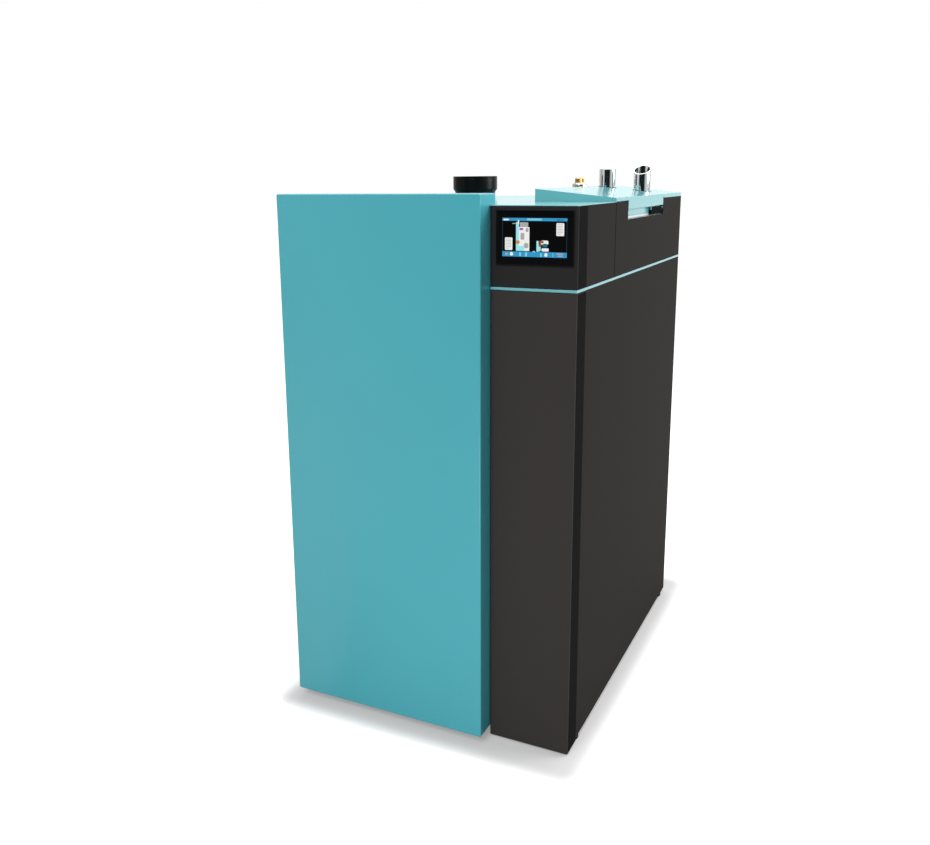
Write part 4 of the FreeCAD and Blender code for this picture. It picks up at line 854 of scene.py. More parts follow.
# %% Painted shade on the corner and the side seam
lip_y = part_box("lower_side_panel")[0].y
for number, node in enumerate(("service_cover", "head_front")):
    low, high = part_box(node)
    strip = block((high.x - 0.5 * MM, low.y + 1.5 * BEND, low.z + MM),
                  (high.x + 0.15 * MM, lip_y, high.z - MM),
                  0.3 * MM, 0.12 * MM, "x", 2)
    make(f"painted_shade_corner_{number + 1}", black_coat_and_painted_shade, node, strip, stands_for=False)

low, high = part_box("head_side_panel")
seam = block((high.x - 0.5 * MM, high.y - 2.4 * MM, low.z + MM),
             (high.x + 0.12 * MM, high.y + 3.4 * MM, high.z - MM), 0.3 * MM, 0.1 * MM, "x", 2)
make("painted_shade_seam", black_coat_and_painted_shade, "head_side_panel", seam, stands_for=False)

# %% [markdown]
# ## Side panels
# Three of the four side panels are one bend each. The upper right one is flat, because its lips
# are hidden, and has the grip notch cut in its top edge. In the notch a satin aluminium cove, a
# quarter circle in section, leads the fingers to the latch.

# %% Side panels
for node, name in (("lower_side_panel", "side_panel_low"), ("head_side_panel", "side_panel_head")):
    low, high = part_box(node)
    line = bend_line([(low.x, low.y), (high.x, low.y), (high.x, high.y)], BEND)
    make(name, charcoal_coat, node, folded(line, low.z, high.z), wall=SHEET, edge=0.5 * MM)

low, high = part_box("left_side_panel")
line = bend_line([(high.x, low.y), (low.x, low.y), (low.x, high.y)], BEND)
make("side_panel_left", charcoal_coat, "left_side_panel", folded(line, low.z, high.z), wall=SHEET,
     edge=0.5 * MM)

low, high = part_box("upper_side_panel")
ledge_low, ledge_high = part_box("grip_ledge")
notch = (ledge_low.y + 10 * MM, ledge_high.y - 10 * MM, ledge_low.z + SHEET)
line = np.array([(high.x, y) for y in (low.y, notch[0], notch[1], high.y)])


def outside_notch(middle):
    """True where a face isn't in the grip notch."""
    return ~((middle[:, 1] > notch[0]) & (middle[:, 1] < notch[1]) & (middle[:, 2] > notch[2]))


COVE = 7 * MM
turn = np.radians(np.linspace(180, 270, 9))
section = np.concatenate([np.stack([COVE * np.cos(turn), COVE * np.sin(turn)], -1), [(-COVE, -COVE)]])
cove_x, cove_z = high.x - 0.6 * MM, notch[2] + COVE + 0.1 * MM
path = np.linspace((cove_x, notch[0], cove_z), (cove_x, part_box("lid_latch")[0].y - 2 * MM, cove_z), 20)
make("grip_cove", satin_aluminium, "grip_ledge", swept(path, section), stands_for=False)
make("side_panel_upper", charcoal_coat, "upper_side_panel",
     folded(line, low.z, high.z, (notch[2],), outside_notch), wall=SHEET, edge=0.5 * MM)

# %% [markdown]
# ## Trim band
# A 7 mm teal strip runs round the cabinet under the head. It is an extruded strip with a crowned
# face, pushed into the joint between the panels, so it catches the light along its whole length.
# Its section is half an ellipse on a flat back, drawn along a line bent round the corner.

# %% Trim band
low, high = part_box("trim_band")
crown, tall = 2 * MM, (high.z - low.z) / 2
angle = np.linspace(-np.pi / 2, np.pi / 2, 9)
section = np.concatenate([np.stack([crown * (np.cos(angle) ** 0.6 - 1), tall * np.sin(angle)], -1),
                          [(-crown, tall)], [(-crown, -tall)]])[1:]
line = bend_line([(low.x, low.y), (high.x, low.y), (high.x, high.y)], BEND)
path = placed(line[:, 0], line[:, 1], np.full(len(line), (low.z + high.z) / 2), "z")
# The trim takes the lighter teal, a painted highlight.
make("trim_strip", highlight_teal_coat, "trim_band", swept(path, section))

# %% [markdown]
# ## Covers, lid and hidden sheet
# The flat covers with round holes, the wedge-shaped lid with its hinge barrels and the sheet
# inside the cabinet already have the right shape. Only their edges are too sharp: cut sheet is
# deburred and the coat rounds it further. So each is a copy with its triangles joined and its edges
# rounded by a fraction of the sheet's thickness.

# %% Covers, lid and hidden sheet
# The lid and the covers take the lighter teal, a painted highlight.
REFINED = [
    ("cover_top", "top_cover", highlight_teal_coat, 0.7), ("cover_head", "head_top_cover", highlight_teal_coat, 0.7),
    ("lid_shell", "hopper_lid", highlight_teal_coat, 0.7), ("cover_rear", "hopper_rear_cover", highlight_teal_coat, 0.7),
    ("lid_ledge", "grip_ledge", highlight_teal_coat, 0.4), ("panel_back", "back_panel", charcoal_coat, 0.5),
    ("frame_front", "front_frame", galvanised, 0.4), ("wall_middle", "partition_panel", galvanised, 0.4),
    ("frame_base", "base_frame", boiler_plate, 1.5), ("hinge_brackets", "door_hinges", zinc, 0.5),
    ("lid_hinge_parts", "lid_hinge", zinc, 0.4), ("hopper_sheet", "hopper", galvanised, 0.4),
    ("cyclone_box", "cyclone", galvanised, 0.5), ("auger_trough", "auger_tube", galvanised, 0.5),
    ("burner_case", "burner_housing", galvanised, 0.7), ("burner_barrel", "burner_tube", heat_tint, 0.8),
]
for name, node, finish, edge in REFINED:
    refined(name, node, finish, edge * MM)

# %% [markdown]
# ## Suction stubs
# Two 50 mm tubes stand on the rear cover: the pellet inlet is cut square, and the return air stub is mitred
# so that rain and dust stay out of a loose hose. Each is a lathe shape whose profile has rows for a
# hose-clamp bead, but no swell at them. For the mitre, every point above the slanted plane is pulled down
# onto it.

# %% Suction stubs
def stub(node, mitre):
    """The profile runs up the outside, across the rim and down the bore."""
    low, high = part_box(node)
    centre = ((low.x + high.x) / 2, (low.y + high.y) / 2, 0)
    radius, wall, foot = (high.x - low.x) / 2, 1.5 * MM, low.z
    bead = foot + 62 * MM
    tip = high.z - 26 * MM * mitre
    swell = np.linspace(0, np.pi, 9)
    profile = ([(radius, foot), (radius, bead - 3 * MM)]
               + [(radius + 0 * a, bead - 3 * MM * np.cos(a)) for a in swell[1:-1]]
               + [(radius, bead + 3 * MM), (radius, high.z - 0.5 * MM), (radius - 0.5 * MM, high.z),
                  (radius - wall + 0.4 * MM, high.z), (radius - wall, high.z - 0.5 * MM),
                  (radius - wall, foot), (radius, foot)])
    points, quads = turned(profile, centre, steps=72)
    if mitre:
        slope = (high.z - tip) / (2 * radius)
        plane = tip + (points[:, 1] - (centre[1] - radius)) * slope
        points[:, 2] = np.minimum(points[:, 2], plane)
    return points, quads


make("stub_inlet", chrome, "suction_stub", stub("suction_stub", 0))
make("stub_return", chrome, "return_air_stub", stub("return_air_stub", 1))

# %% [markdown]
# ## Stub seals
# A rubber ring closes the gap round each stub. The cover slopes by 23 mm over its width, so the
# ring is turned level first and then every point is lowered by the slope times its x.

# %% Stub seals
COVER_FALL = 23 * MM
cover_low, cover_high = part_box("hopper_rear_cover")
slope = COVER_FALL / (cover_high.x - cover_low.x)
for number, node in enumerate(("suction_stub", "return_air_stub")):
    low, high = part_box(node)
    across = (low.x + high.x) / 2
    top = cover_high.z - (across - cover_low.x) * slope
    profile = mm((25.2, -3.5), (27, -3.5), (27.4, -0.6), (27, 0.6), (26.4, 1.1), (25.2, 1.2), (25.2, -3.5))
    points, quads = turned(profile, (across, (low.y + high.y) / 2, top), steps=64)
    points[:, 2] -= (points[:, 0] - across) * slope
    make(f"stub_seal_{number + 1}", rubber, node, (points, quads), stands_for=False)

# %% [markdown]
# ## Flue collar
# The flue pipe plugs into a stove-black collar: a cone, a straight socket and a rim rolled
# over to stiffen it. It is a lathe shape, with a fibre rope seal sunk in the bore.

# %% Flue collar
low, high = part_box("flue_spigot")
BORE, NECK, ROPE_RING, ROPE_RADIUS = 52.3 * MM, 60 * MM, 62.6 * MM, 2.5 * MM
centre = ((low.x + high.x) / 2, (low.y + high.y) / 2, 0)
wide, top = (high.x - low.x) / 2, high.z
turn = np.linspace(0, np.pi, 9)
curl = np.stack([wide - 0.9 * MM * (1 - np.cos(turn)), top - 1.4 * MM * (1 - np.sin(turn))], -1)
profile = np.vstack([[(BORE, low.z), (NECK, low.z), (NECK, top - 46 * MM)],
                     (wide, top) + mm((-2, -40), (0, -37), (0, -9), (-0.3, -8), (0, -7)), curl,
                     [(wide - 0.8 * MM, top - 36 * MM), (BORE, top - 36 * MM), (BORE, low.z)]])
make("flue_collar", black_enamel, "flue_spigot", turned(profile, centre, steps=96))
path = ring_section(ROPE_RING, 96)
path = placed(path[:, 0], path[:, 1], np.full(96, top - 33.4 * MM), "z", centre)
make("flue_rope_seal", glass_rope, "flue_spigot", swept(path, ring_section(ROPE_RADIUS), closed=True),
     stands_for=False)

# %% [markdown]
# ## Automatic air vent
# A small brass valve lets air out at the highest point: a hexagon to grip, a round float
# chamber and a knurled cap with its side outlet. Knurling is a ripple on the radius, 1 + a cos(36 t).

# %% Air vent
low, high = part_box("air_vent")
centre = np.array(((low.x + high.x) / 2, (low.y + high.y) / 2, 0))
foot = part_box("top_cover")[1].z + 2 * MM
shoulder = high.z - 18 * MM
pipe = turned([(0, low.z), (10 * MM, low.z), (10 * MM, foot + MM), (0, foot + MM)], centre, steps=32)
nut = turned((0, foot) + mm((0, 0), (22.6, 0), (24, 1.4), (24, 9), (22.6, 10.4), (0, 10.4)), centre,
             steps=6, phase=0.25)
bowl = turned(np.vstack([(0, foot) + mm((0, 10), (22, 10), (23.6, 11.6), (23.8, 14)),
                         (0, shoulder) + mm((23.8, -4), (22.6, -1), (16, 3.4), (0, 3.4))]), centre, steps=64)
side = turned(mm((0, 20), (4, 20), (4, 27.5), (2, 27.5), (2, 21), (0, 21)),
              centre + (0, 0, shoulder - 9 * MM), "x", 24)
make("vent_body", nickel, "air_vent", pipe, nut, bowl, side)


def knurled(part, centre, count, height):
    """A turned part whose radius is times 1 + height cos(count times the bearing)."""
    points, quads = part
    spoke = points[:, :2] - centre
    bearing = np.arctan2(spoke[:, 1], spoke[:, 0])
    points[:, :2] = centre + spoke * (1 + height * np.cos(count * bearing))[:, None]
    return points, quads


cap = turned(np.vstack([(0, shoulder) + mm((0, 3), (14.6, 3), (15.4, 4)),
                        (0, high.z) + mm((15, -2.4), (13.6, -0.8), (9, -0.4), (0, -0.4))]), centre, steps=144)
plug = turned((0, high.z) + mm((0, -1), (5, -1), (5, -0.3), (4.4, 0), (0, 0)), centre, steps=32)
make("vent_cap", brass, "air_vent", knurled(cap, centre[:2], 36, 0.025), stands_for=False)
make("vent_plug", black_plastic, "air_vent", plug, stands_for=False)

# %% [markdown]
# ## Touch display
# A seven-inch panel sits behind a black cover glass in a moulded bezel. The picture on it is a
# plain diagram of the plant: blue bars above and below, two white value boxes, the boiler in
# section and a buffer store. It could be an image, but small raised tiles in lit colours keep it
# sharp and need no file. Lines of text are only grey bars.

# %% Lit colours
def lit(name, code, power=1.0):
    """A display colour: black glass that gives off light of one colour."""
    material, tree, shader, place = start(name)
    settle(tree, shader, {"Base Color": linear("#020203"), "Roughness": 0.35, "Specular IOR Level": 0.08,
                          "Emission Color": linear(code), "Emission Strength": power})
    rows = add(tree, "ShaderNodeTexWave", {"Scale": per_mm(2.0), "Distortion": 0.0}, {"Vector": place},
               bands_direction="Z")
    relief = add(tree, "ShaderNodeBump", {"Strength": 0.05, "Distance": 0.02 * MM},
                 {"Height": rows.outputs["Fac"]})
    tree.links.new(relief.outputs["Normal"], shader.inputs["Normal"])
    return material


LIT = {"blue": lit("lit_blue", "#3595C6"), "sky": lit("lit_pale_blue", "#7CCBE0"),
       "cyan": lit("lit_cyan", "#9BE3EA"), "white": lit("lit_white", "#ECEDEB"),
       "grey": lit("lit_grey", "#A9A8A5"), "dim": lit("lit_dim_teal", "#16303A"),
       "magenta": lit("lit_magenta", "#C23FC0"), "amber": lit("lit_amber", "#C98A35"),
       "rust": lit("lit_rust", "#9C5236"), "teal": lit("lit_dark_teal", "#1F6E80"),
       "black": lit("unlit_screen", "#020203", 0.2)}

# %% [markdown]
# ## Bezel and glass
# The bezel is a moulded frame with round corners, and the electronics behind it fill the cut-out
# in the sheet. The cover glass lies 0.3 mm proud of the bezel.

# %% Bezel and glass
PROUD = 0.3 * MM
low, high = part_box("touch_display")
face_y = low.y
bezel = block((low.x, face_y, low.z), (high.x, face_y + 3 * MM, high.z), 3 * MM, 0.8 * MM, "y", 4)
module = block((low.x + 12 * MM, face_y + 3 * MM, low.z + 12 * MM),
               (high.x - 12 * MM, high.y, high.z - 12 * MM), 2 * MM, 1 * MM, "y")
make("display_module", black_plastic, "touch_display", bezel, module)
inset = 2.2 * MM
make("display_glass", glass, "touch_display",
     block((low.x + inset, face_y - PROUD, low.z + inset), (high.x - inset, face_y + MM, high.z - inset),
           2 * MM, 0.25 * MM, "y", 2), stands_for=False)

# %% [markdown]
# ## The picture
# The lit field is 153 x 86 mm. Every shape on it is a rounded tile in one of the lit colours, and a
# tile on top of another stands one layer, 0.06 mm, nearer to the eye. All sizes are in
# millimetres from the field's top left corner.

# %% The picture
LAYER = 0.06 * MM
FIELD_WIDE, FIELD_TALL = 153, 86
field_left, field_top = low.x + 16.5 * MM, high.z - 18 * MM


def tile(left, top, wide, tall, layer=1, corner=0.6):
    """A rounded tile whose top left corner is left and top millimetres into the field, and whose
    front lies so many layers before the glass."""
    x, z = field_left + left * MM, field_top - top * MM
    front = face_y - PROUD - layer * LAYER
    radius = min(corner, wide / 2.1, tall / 2.1) * MM
    return block((x, front, z - tall * MM), (x + wide * MM, face_y - 0.2 * MM, z), radius, 0.02 * MM, "y", 2)


def bars(left, top, wide, count, pitch, tall=1.1, layer=3):
    """Grey bars that stand for lines of text, the last one shorter."""
    return [tile(left, top + pitch * i, wide * (0.65 if i == count - 1 else 1.0), tall, layer, 0.3)
            for i in range(count)]


PICTURE = {
    "black": [tile(0, 0, FIELD_WIDE, FIELD_TALL, 1, 1.0)],
    "dim": [tile(0, 8, 1.6, 66, 2), tile(151.4, 8, 1.6, 66, 2)],
    "blue": [tile(0, 0, FIELD_WIDE, 6.6, 2), tile(0, 74.5, FIELD_WIDE, 11.5, 2)],
    "sky": [tile(59, 1.2, 35, 4.0, 3, 1.2), tile(41, 76, 4.5, 8.5, 3), tile(55, 76, 5, 9, 3),
            tile(73, 72.6, 6, 3.2, 3), tile(91, 77, 4, 8, 3), tile(120, 75.5, 1.4, 10, 3)],
    "cyan": [tile(33, 9, 7, 64, 2, 1.5), tile(34, 62, 19, 11, 3, 3), tile(82, 50, 5, 24, 2, 1.5),
             tile(83, 62, 9, 11, 3, 2)],
    "white": [tile(6.5, 43.5, 18, 28, 2, 2), tile(128, 10.5, 18, 28, 2, 2), tile(40, 20, 25, 53, 2, 1.5),
              tile(37.5, 4.5, 3, 9, 4, 1.2), tile(92, 49, 18, 9, 3, 3.5), tile(94, 66, 17, 7, 3, 2.5),
              tile(18.5, 76.2, 8, 7.6, 3, 3.6), tile(101, 76.5, 7, 8, 3, 3), tile(2.5, 2.2, 13, 3.4, 3, 1.2)],
    "grey": [tile(42, 9.5, 20, 10.5, 2, 2), tile(44, 33, 9, 15, 3, 2), tile(52, 55, 11, 12, 3, 5),
             tile(56, 22, 7, 9, 3, 3), tile(24, 11.5, 9, 1.8, 3), tile(7, 78, 7, 5, 3, 2),
             tile(129, 76.5, 15, 2.8, 3), tile(132, 81, 12, 2.8, 3)]
            + bars(8.5, 46.5, 13, 7, 3.4) + bars(130, 13.5, 13, 7, 3.4)
            + [tile(48, 13 + 4 * i, 5, 1.6, 4, 0.8) for i in range(2)],
    "teal": [tile(96, 56, 12, 8, 4, 3.9), tile(129, 2.4, 8, 3, 3), tile(139, 2.4, 5, 3, 3)],
    "rust": [tile(88, 50, 11, 5, 4, 2), tile(87, 56, 7, 7, 4, 3)],
    "magenta": [tile(41, 22, 9.5, 5, 4, 2.4)],
    "amber": [tile(33, 49.5, 9, 8, 4, 3.8)],
}
for hue, tiles in PICTURE.items():
    make(f"screen_{hue}", LIT[hue], "touch_display", *tiles, stands_for=False)

# %% [markdown]
# ## Lid latch
# A finger paddle hangs under the lid's front edge, in the grip notch: moulded ABS, 125 mm long,
# with a rolled lower edge and shallow ribs that the fingertips feel. Its section is a thin
# rounded bar drawn along its length, and the ribs are slim blocks.

# %% Lid latch
low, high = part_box("lid_latch")
across, pivot_z = (low.x + high.x) / 2, high.z - 3 * MM
paddle = block((low.x, low.y + 6 * MM, low.z), (high.x, high.y - 6 * MM, high.z), 2.5 * MM, 1.6 * MM, "y", 4)
LIP = 2.6 * MM
lip = swept(np.linspace((low.x + LIP, low.y + 8 * MM, low.z + LIP),
                        (low.x + LIP, high.y - 8 * MM, low.z + LIP), 12),
            ring_section(LIP, 16), up=(1, 0, 0))
ribs = [block((high.x - 0.6 * MM, low.y + (12 + 9 * i) * MM, low.z + 4 * MM),
              (high.x, low.y + (14 + 9 * i) * MM, high.z - 5 * MM), 0.6 * MM, 0.28 * MM, "x", 2)
        for i in range(12)]
pin = turned([(0, low.y), (1.7 * MM, low.y), (2 * MM, low.y + 0.4 * MM), (2 * MM, high.y - 0.4 * MM),
              (1.7 * MM, high.y),
              (0, high.y)], (across, 0, pivot_z), "y", 20)
make("latch_paddle", black_coat_and_painted_shade, "lid_latch", paddle, lip, *ribs, pin)

# %% [markdown]
# ## Feet
# Each levelling foot is a swivel pad of black nylon with a ribbed edge, a zinc threaded stem and a
# lock nut under the frame. A thread is a ripple along the stem: its radius grows and shrinks once
# every 1.5 mm.

# %% Feet
low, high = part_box("levelling_feet")
places = [(x, y) for x in (low.x + 22 * MM, high.x - 22 * MM) for y in (low.y + 22 * MM, high.y - 22 * MM)]
pads, stems = [], []
turns = np.arange(12 * MM, high.z - 0.2 * MM, 0.75 * MM)
thread = [(0, 12 * MM)] + [(7.9 * MM - 0.8 * MM * (i % 2), z) for i, z in enumerate(turns)] + [(0, turns[-1])]
for x, y in places:
    pad = turned(mm((0, 0), (20, 0), (21.5, 1.2), (21.5, 6), (19, 9), (12, 11), (11, 12), (0, 12)), (x, y, 0),
                 steps=96)
    pads.append(knurled(pad, (x, y), 24, 0.012))
    stems.append(turned(thread, (x, y, 0), steps=24))
    stems.append(turned(mm((0, -9), (12, -9), (13, -8), (13, -1.2), (12, -0.3), (0, -0.3)), (x, y, high.z),
                        steps=6))
make("foot_pads", black_plastic, "levelling_feet", *pads)
make("foot_stems", zinc, "levelling_feet", *stems, stands_for=False)

# %% [markdown]
# ## Fire door
# The fire door is cast iron: a thick plate with a raised frame of ribs, and a dark sight glass in a
# ring with six bolts. A board of pressed vermiculite on its inside keeps the heat off the iron.

# %% Fire door
refined("fire_door_plate", "fire_door", cast_iron, 1.6 * MM)
RIM, RAIL, RIB_PROUD = 45 * MM, 9 * MM, 4 * MM
low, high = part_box("fire_door")
face = low.y
ribs = [block((low.x + RIM - 5 * MM, face - RIB_PROUD, z - RAIL / 2),
              (high.x - RIM + 5 * MM, face + MM, z + RAIL / 2), 3 * MM, 1.6 * MM, "y")
        for z in (low.z + RIM, high.z - RIM)]
ribs += [block((x - RAIL / 2, face - RIB_PROUD, low.z + RIM), (x + RAIL / 2, face + MM, high.z - RIM),
               3 * MM, 1.6 * MM, "y") for x in (low.x + RIM, high.x - RIM)]
sight = np.array(((low.x + high.x) / 2, face, (low.z + high.z) / 2 + 60 * MM))
ring = turned(mm((24, 1), (38, 1), (40, -1), (40, -4), (38, -5.6), (30, -6), (27, -5), (24, -1), (24, 1)),
              sight, "y", 64)
make("fire_door_ribs", cast_iron, "fire_door", ring, *ribs, stands_for=False)
pane = turned(mm((0, 0.5), (25, 0.5), (25, -1.4), (0, -1.4)), sight, "y", 48)
make("fire_door_glass", glass, "fire_door", pane, stands_for=False)
studs = [turned(mm((0, -5), (3.4, -5), (3.9, -6), (3.9, -8.2), (3.2, -9), (0, -9)), sight + (x, 0, z), "y", 6)
         for x, z in ring_section(34.5 * MM, 6)]
make("fire_door_screws", zinc, "fire_door", *studs, stands_for=False)

# The board lies inside the firebox's mouth when the door is shut.
mouth_low, mouth_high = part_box("firebox")
board = block((mouth_low.x + 14 * MM, high.y - 0.5 * MM, low.z + 20 * MM),
              (mouth_high.x - 14 * MM, high.y + 1.2 * MM, mouth_high.z - 410 * MM), 6 * MM, 0.8 * MM, "y")
make("fire_door_board", vermiculite, "fire_door", board, stands_for=False)

# %% [markdown]
# ## Fire door handle
# The handle is phenolic, which stays cool to the touch. Its shape is already right, so it only gets
# the edges of a moulded grip, rounded by 1.8 mm in three steps.

# %% Fire door handle
refined("handle_parts", "fire_door_handle", black_plastic, 1.8 * MM, 3)

# %% [markdown]
# ## Ash drawer
# The drawer is folded plate with a bar handle, and keeps its mesh. The bar gets a black sleeve
# to pull it by, 10.4 mm thick, with five raised rings that keep a glove from slipping along it.

# %% Ash drawer
low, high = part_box("ash_drawer")
across, grip_z = (low.x + high.x) / 2, (low.z + high.z) / 2
bar = np.array((across, low.y + 4.2 * MM, grip_z))
grip = swept(np.linspace(bar - (48 * MM, 0, 0), bar + (48 * MM, 0, 0), 25), ring_section(5.2 * MM, 20))
rings = [turned(mm((0, x), (6.2, x), (6.2, x + 3), (0, x + 3)), bar, "x", 32)
         for x in (-50, -20, -1.5, 17, 47)]
make("ash_grip_sleeve", black_plastic, "ash_drawer", grip, *rings, stands_for=False)

# %% [markdown]
# ## Burner internals
# Air comes from a fan behind the burner: a grey motor with cooling fins on a black cast housing. The fire
# burns on a slotted cast grate that a small gear motor pushes to and fro to break the slag, and a ceramic
# hot-air igniter lights it. All the bodies already sit in the right place, so they get rounded edges here,
# and fins and bolts are new pieces.

# %% Cast, pressed and moulded bodies
BODIES = [
    ("grate_bars", "burner_grate", cast_iron, 0.8), ("grate_drive", "grate_actuator", motor_paint, 1.2),
    ("igniter_tube", "igniter", stainless, 0.4), ("fan_case", "burner_fan_housing", black_enamel, 1.2),
    ("fan_wheel", "burner_fan_impeller", stainless, 0.3), ("flue_wheel", "flue_fan_impeller", stainless, 0.3),
    ("flue_fan_case", "flue_fan_housing", boiler_plate, 1.0),
    ("turbine_body", "suction_turbine", motor_paint, 1.5),
    ("auger_drive", "auger_gearmotor", motor_paint, 1.5),
    ("lift_drive", "cleaning_actuator", motor_paint, 1.2),
    ("control_case", "controller_box", grey_plastic, 2.0), ("catch_parts", "door_catch", black_plastic, 0.6),
    ("power_socket", "power_inlet", black_plastic, 0.8), ("rocker", "main_switch", red_plastic, 0.8),
    ("drain_handle", "drain_lever", red_plastic, 1.0), ("drain_body", "drain_valve", brass, 0.8),
    ("lid_gasket", "lid_seal", rubber, 0.8), ("cable_gear", "turbulators", stainless, 0.2),
]
for name, node, finish, edge in BODIES:
    refined(name, node, finish, edge * MM)

# %% [markdown]
# ## Motors: fins, bolts and terminal boxes
# Each small motor has cast cooling fins round its body and four cap screws in its end. A fin is a
# thin rounded bar along the motor, repeated round it. The end bell is a shallow dome.

# %% Motor details
def fins(centre, radius, start_at, length, count, axis, tall=3.0 * MM, thick=1.6 * MM):
    """Count thin bars round an axis. Each is a block drawn along the axis, pushed out to the
    radius and turned about the axis by its share of a full turn."""
    bar, quads = block((radius - MM, -thick / 2, start_at), (radius + tall, thick / 2, start_at + length),
                       0.6 * MM, 0.5 * MM, "z", 2)
    parts = []
    for turn in np.linspace(0, 2 * np.pi, count, endpoint=False):
        u = bar[:, 0] * np.cos(turn) - bar[:, 1] * np.sin(turn)
        v = bar[:, 0] * np.sin(turn) + bar[:, 1] * np.cos(turn)
        parts.append((placed(u, v, bar[:, 2], axis, centre), quads))
    return parts


def screws(centre, circle, level, count, axis, size=3.2 * MM, outward=1):
    """Cap screws on a circle: a lathe head with a round socket recess."""
    head = np.array([(0, 0), (size, 0), (size, 0.75 * size), (0.85 * size, 0.95 * size),
                     (0.5 * size, 0.95 * size), (0.5 * size, 0.4 * size), (0, 0.4 * size)])
    head[:, 1] *= outward
    turns = np.linspace(0, 2 * np.pi, count, endpoint=False) + np.pi / count
    return [turned(head, placed(circle * np.cos(a), circle * np.sin(a), level, axis, centre), axis, 24)
            for a in turns]


low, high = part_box("auger_gearmotor")
centre_x, centre_z = (low.x + high.x) / 2, (low.z + high.z) / 2
parts = fins((centre_x, 0, centre_z), 32 * MM, high.y - 96 * MM, 74 * MM, 24, "y", 2.6 * MM)
make("auger_motor_fins", motor_paint, "auger_gearmotor", *parts, stands_for=False)
bell = turned(mm((0, 0), (32.6, 0), (33, 1), (33, 9), (30, 11), (12, 12), (0, 12)),
              (centre_x, high.y - 12 * MM, centre_z), "y", 48)
terminal = block((centre_x - 17 * MM, high.y - 80 * MM, centre_z + 29 * MM),
                 (centre_x + 17 * MM, high.y - 42 * MM, centre_z + 44 * MM), 3 * MM, 1.5 * MM, "z")
make("auger_motor_bell", black_plastic, "auger_gearmotor", bell, terminal, stands_for=False)
make("auger_motor_screws", zinc, "auger_gearmotor",
     *screws((centre_x, 0, centre_z), 26 * MM, high.y - 1.4 * MM, 4, "y", 2.4 * MM),
     *screws((centre_x, 0, centre_z), 50 * MM, high.y - 110 * MM, 4, "y", 3.2 * MM), stands_for=False)

low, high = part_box("burner_fan_housing")
burner_y, burner_z = (low.y + high.y) / 2, (low.z + high.z) / 2
rim = turned(mm((74, -1), (77.5, -1), (78.2, 0), (78.2, 3), (77.5, 4), (74, 4), (74, -1)),
             (high.x - 4 * MM, burner_y, burner_z), "x", 96)
guard = [turned(mm((r - 1, 0), (r, -1), (r + 1, 0), (r, 1), (r - 1, 0)),
                (high.x + 1.2 * MM, burner_y, burner_z), "x", 64) for r in (14, 24, 34, 44, 54)]
spokes = [swept([(high.x + 1.2 * MM, burner_y + r * MM * np.cos(a), burner_z + r * MM * np.sin(a))
                 for r in (12, 30, 44, 58)],
                ring_section(1.1 * MM, 8), (1, 0, 0)) for a in np.radians((45, 135, 225, 315))]
make("fan_guard", zinc, "burner_fan_housing", rim, *guard, *spokes, stands_for=False)
make("fan_screws", zinc, "burner_fan_housing",
     *screws((0, burner_y, burner_z), 66 * MM, high.x - 0.6 * MM, 6, "x"), stands_for=False)

low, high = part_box("suction_turbine")
centre = ((low.x + high.x) / 2, (low.y + high.y) / 2, 0)
ribs = fins(centre, 67 * MM, low.z + 18 * MM, 84 * MM, 30, "z", 3 * MM, 2.4 * MM)
bands = [turned(mm((67, -4), (69.6, -4), (70.4, -3), (70.4, 3), (69.6, 4), (67, 4), (67, -4)),
                np.array(centre) + (0, 0, z), "z", 72) for z in (low.z + 12 * MM, high.z - 16 * MM)]
make("turbine_ribs", motor_paint, "suction_turbine", *ribs, stands_for=False)
make("turbine_bands", zinc, "suction_turbine", *bands, stands_for=False)
dome = turned(mm((0, -9), (30, -8.5), (52, -6.5), (60, -3), (61, 1), (0, 1)),
              np.array(centre) + (0, 0, low.z), "z", 64)
make("turbine_cap", black_plastic, "suction_turbine", dome, stands_for=False)

# %% [markdown]
# ## Drop hose
# Pellets fall from the auger to the burner through a short silicone hose that melts if fire ever
# backs up. It is corrugated and held by two worm-drive clamps. The corrugation is a squared sine
# on the radius, one wave every 7.5 mm, that fades to nothing under the clamps.

# %% Drop hose
low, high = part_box("drop_hose")
centre = ((low.x + high.x) / 2, (low.y + high.y) / 2, 0)
level = np.linspace(low.z, high.z, 121)
PITCH, SWELL = 7.5 * MM, 3.4 * MM
fade = np.clip(np.minimum(level - low.z, high.z - level) / (14 * MM) - 0.9, 0, 1)
wave = 41.6 * MM + SWELL * np.sin(np.pi * (level - low.z) / PITCH) ** 2 * fade
outer = np.stack([wave, level], -1)
inner = np.stack([wave - 2.6 * MM, level], -1)[::-1]
make("hose_bellows", hose_rubber, "drop_hose", turned(np.vstack([outer, inner, outer[:1]]), centre, steps=72))
clamps = []
for z in (low.z + 7 * MM, high.z - 7 * MM):
    clamps.append(turned(mm((41.5, -4.5), (43.1, -4.5), (43.4, -4), (43.4, 4), (43.1, 4.5), (41.5, 4.5),
                            (41.5, -4.5)),
                         np.array(centre) + (0, 0, z), steps=72))
    clamps.append(block((centre[0] - 9 * MM, centre[1] - 52 * MM, z - 5.5 * MM),
                        (centre[0] + 5 * MM, centre[1] - 42.6 * MM, z + 5.5 * MM), 2 * MM, 0.8 * MM))
make("hose_clamps", zinc, "drop_hose", *clamps, stands_for=False)

# %% [markdown]
# ## Mineral wool with its straps
# The boiler body is wrapped in slabs of mineral wool, held by galvanised straps. The
# strap is a thin band bent round the slab's outer corner, drawn up its width.

